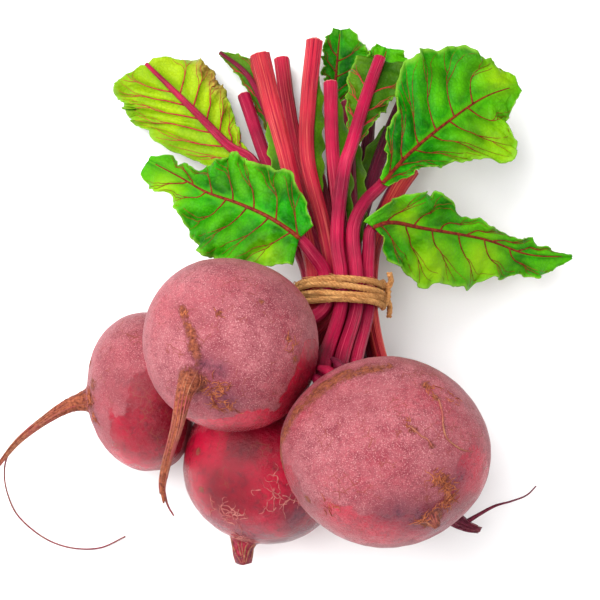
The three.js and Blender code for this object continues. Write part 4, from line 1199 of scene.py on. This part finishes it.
def lay(build, path, radius):
    """Three plies twisted round a path."""
    steps = np.linalg.norm(np.diff(path, axis=0), axis=1)
    length = np.concatenate([[0], np.cumsum(steps)])
    count = max(12, int(length[-1] / (0.6)))
    at = np.linspace(0, length[-1], count)
    centre = np.stack([np.interp(at, length, path[:, i]) for i in range(3)], -1)
    tangent = unit(np.gradient(centre, axis=0))
    side, normal = frames(tangent, (0.05, 1, 0.1))
    for ply in range(3):
        turn = 2 * math.pi * (at / PLY_TURN + ply / 3)
        off = side * np.cos(turn)[:, None] + normal * np.sin(turn)[:, None]
        own = centre + off * radius * 0.5
        way = unit(np.gradient(own, axis=0))
        rings = tube_rings(own, way, np.full(count, radius * 0.58), 8, (0.05, 1, 0.1))
        u, v = np.meshgrid(np.arange(8) / 8, at * 0.02)
        build.rings(rings, 0, uv=np.stack([v * 3 + ply, u * 0.1 + v * 0.02], -1))


for each in BEETS:
    make_beet(each)
for each in STALKS:
    make_stalk(each)
    if "leaf" in STALKS[each]:
        make_blade(each)
make_twine()


# Floor, light and camera
paper = Nodes("floor")
paper.shader.inputs["Base Color"].default_value = (0.90, 0.90, 0.90, 1)
paper.shader.inputs["Roughness"].default_value = 0.7
FLOOR_LOW = -0.0002  # just under the lowest skin
floor_mesh = bpy.data.meshes.new("floor")
corners = [(-3, -3, FLOOR_LOW), (3, -3, FLOOR_LOW), (3, 3, FLOOR_LOW), (-3, 3, FLOOR_LOW)]
floor_mesh.from_pydata(corners, [], [(0, 1, 2, 3)])
floor_mesh.materials.append(paper.material)
floor = bpy.data.objects.new("floor", floor_mesh)
bpy.context.scene.collection.objects.link(floor)

world = bpy.data.worlds.new("studio")
bpy.context.scene.world = world
world.use_nodes = True
world.node_tree.nodes["Background"].inputs["Color"].default_value = (1, 1, 1, 1)
world.node_tree.nodes["Background"].inputs["Strength"].default_value = 0.32

TARGET = Vector((0.0020, -0.0104, 0.045))  # what lamps and camera face


def lamp(name, place, size, power):
    data = bpy.data.lights.new(name, "AREA")
    data.shape = "RECTANGLE"
    data.size, data.size_y = size
    data.energy = power
    made = bpy.data.objects.new(name, data)
    made.location = TARGET + Vector(place)
    made.rotation_euler = (TARGET - made.location).to_track_quat("-Z", "Y").to_euler()
    bpy.context.scene.collection.objects.link(made)


lamp("key", (-0.38, 0.34, 0.80), (0.9, 0.75), 12.0)
lamp("top", (-0.20, -0.12, 0.90), (0.32, 0.32), 3.2)
lamp("left", (-0.80, -0.06, 0.48), (0.34, 0.30), 3.0)
lamp("fill", (0.75, -0.10, 0.60), (0.5, 0.6), 3.4)
lamp("front", (-0.10, -0.80, 0.50), (0.7, 0.3), 2.8)

ELEVATION = math.radians(80)
DISTANCE = 0.7
back = Vector((0, -math.cos(ELEVATION), math.sin(ELEVATION)))
lens = bpy.data.cameras.new("camera")
lens.lens = 100.0
lens.sensor_width = 36.0
lens.shift_x = 13 / 600
lens.shift_y = -3 / 600
camera = bpy.data.objects.new("camera", lens)
camera.location = TARGET + back * DISTANCE
camera.rotation_euler = (math.pi / 2 - ELEVATION, 0, 0)
bpy.context.scene.collection.objects.link(camera)
bpy.context.scene.camera = camera
bpy.context.scene.view_settings.view_transform = "Standard"
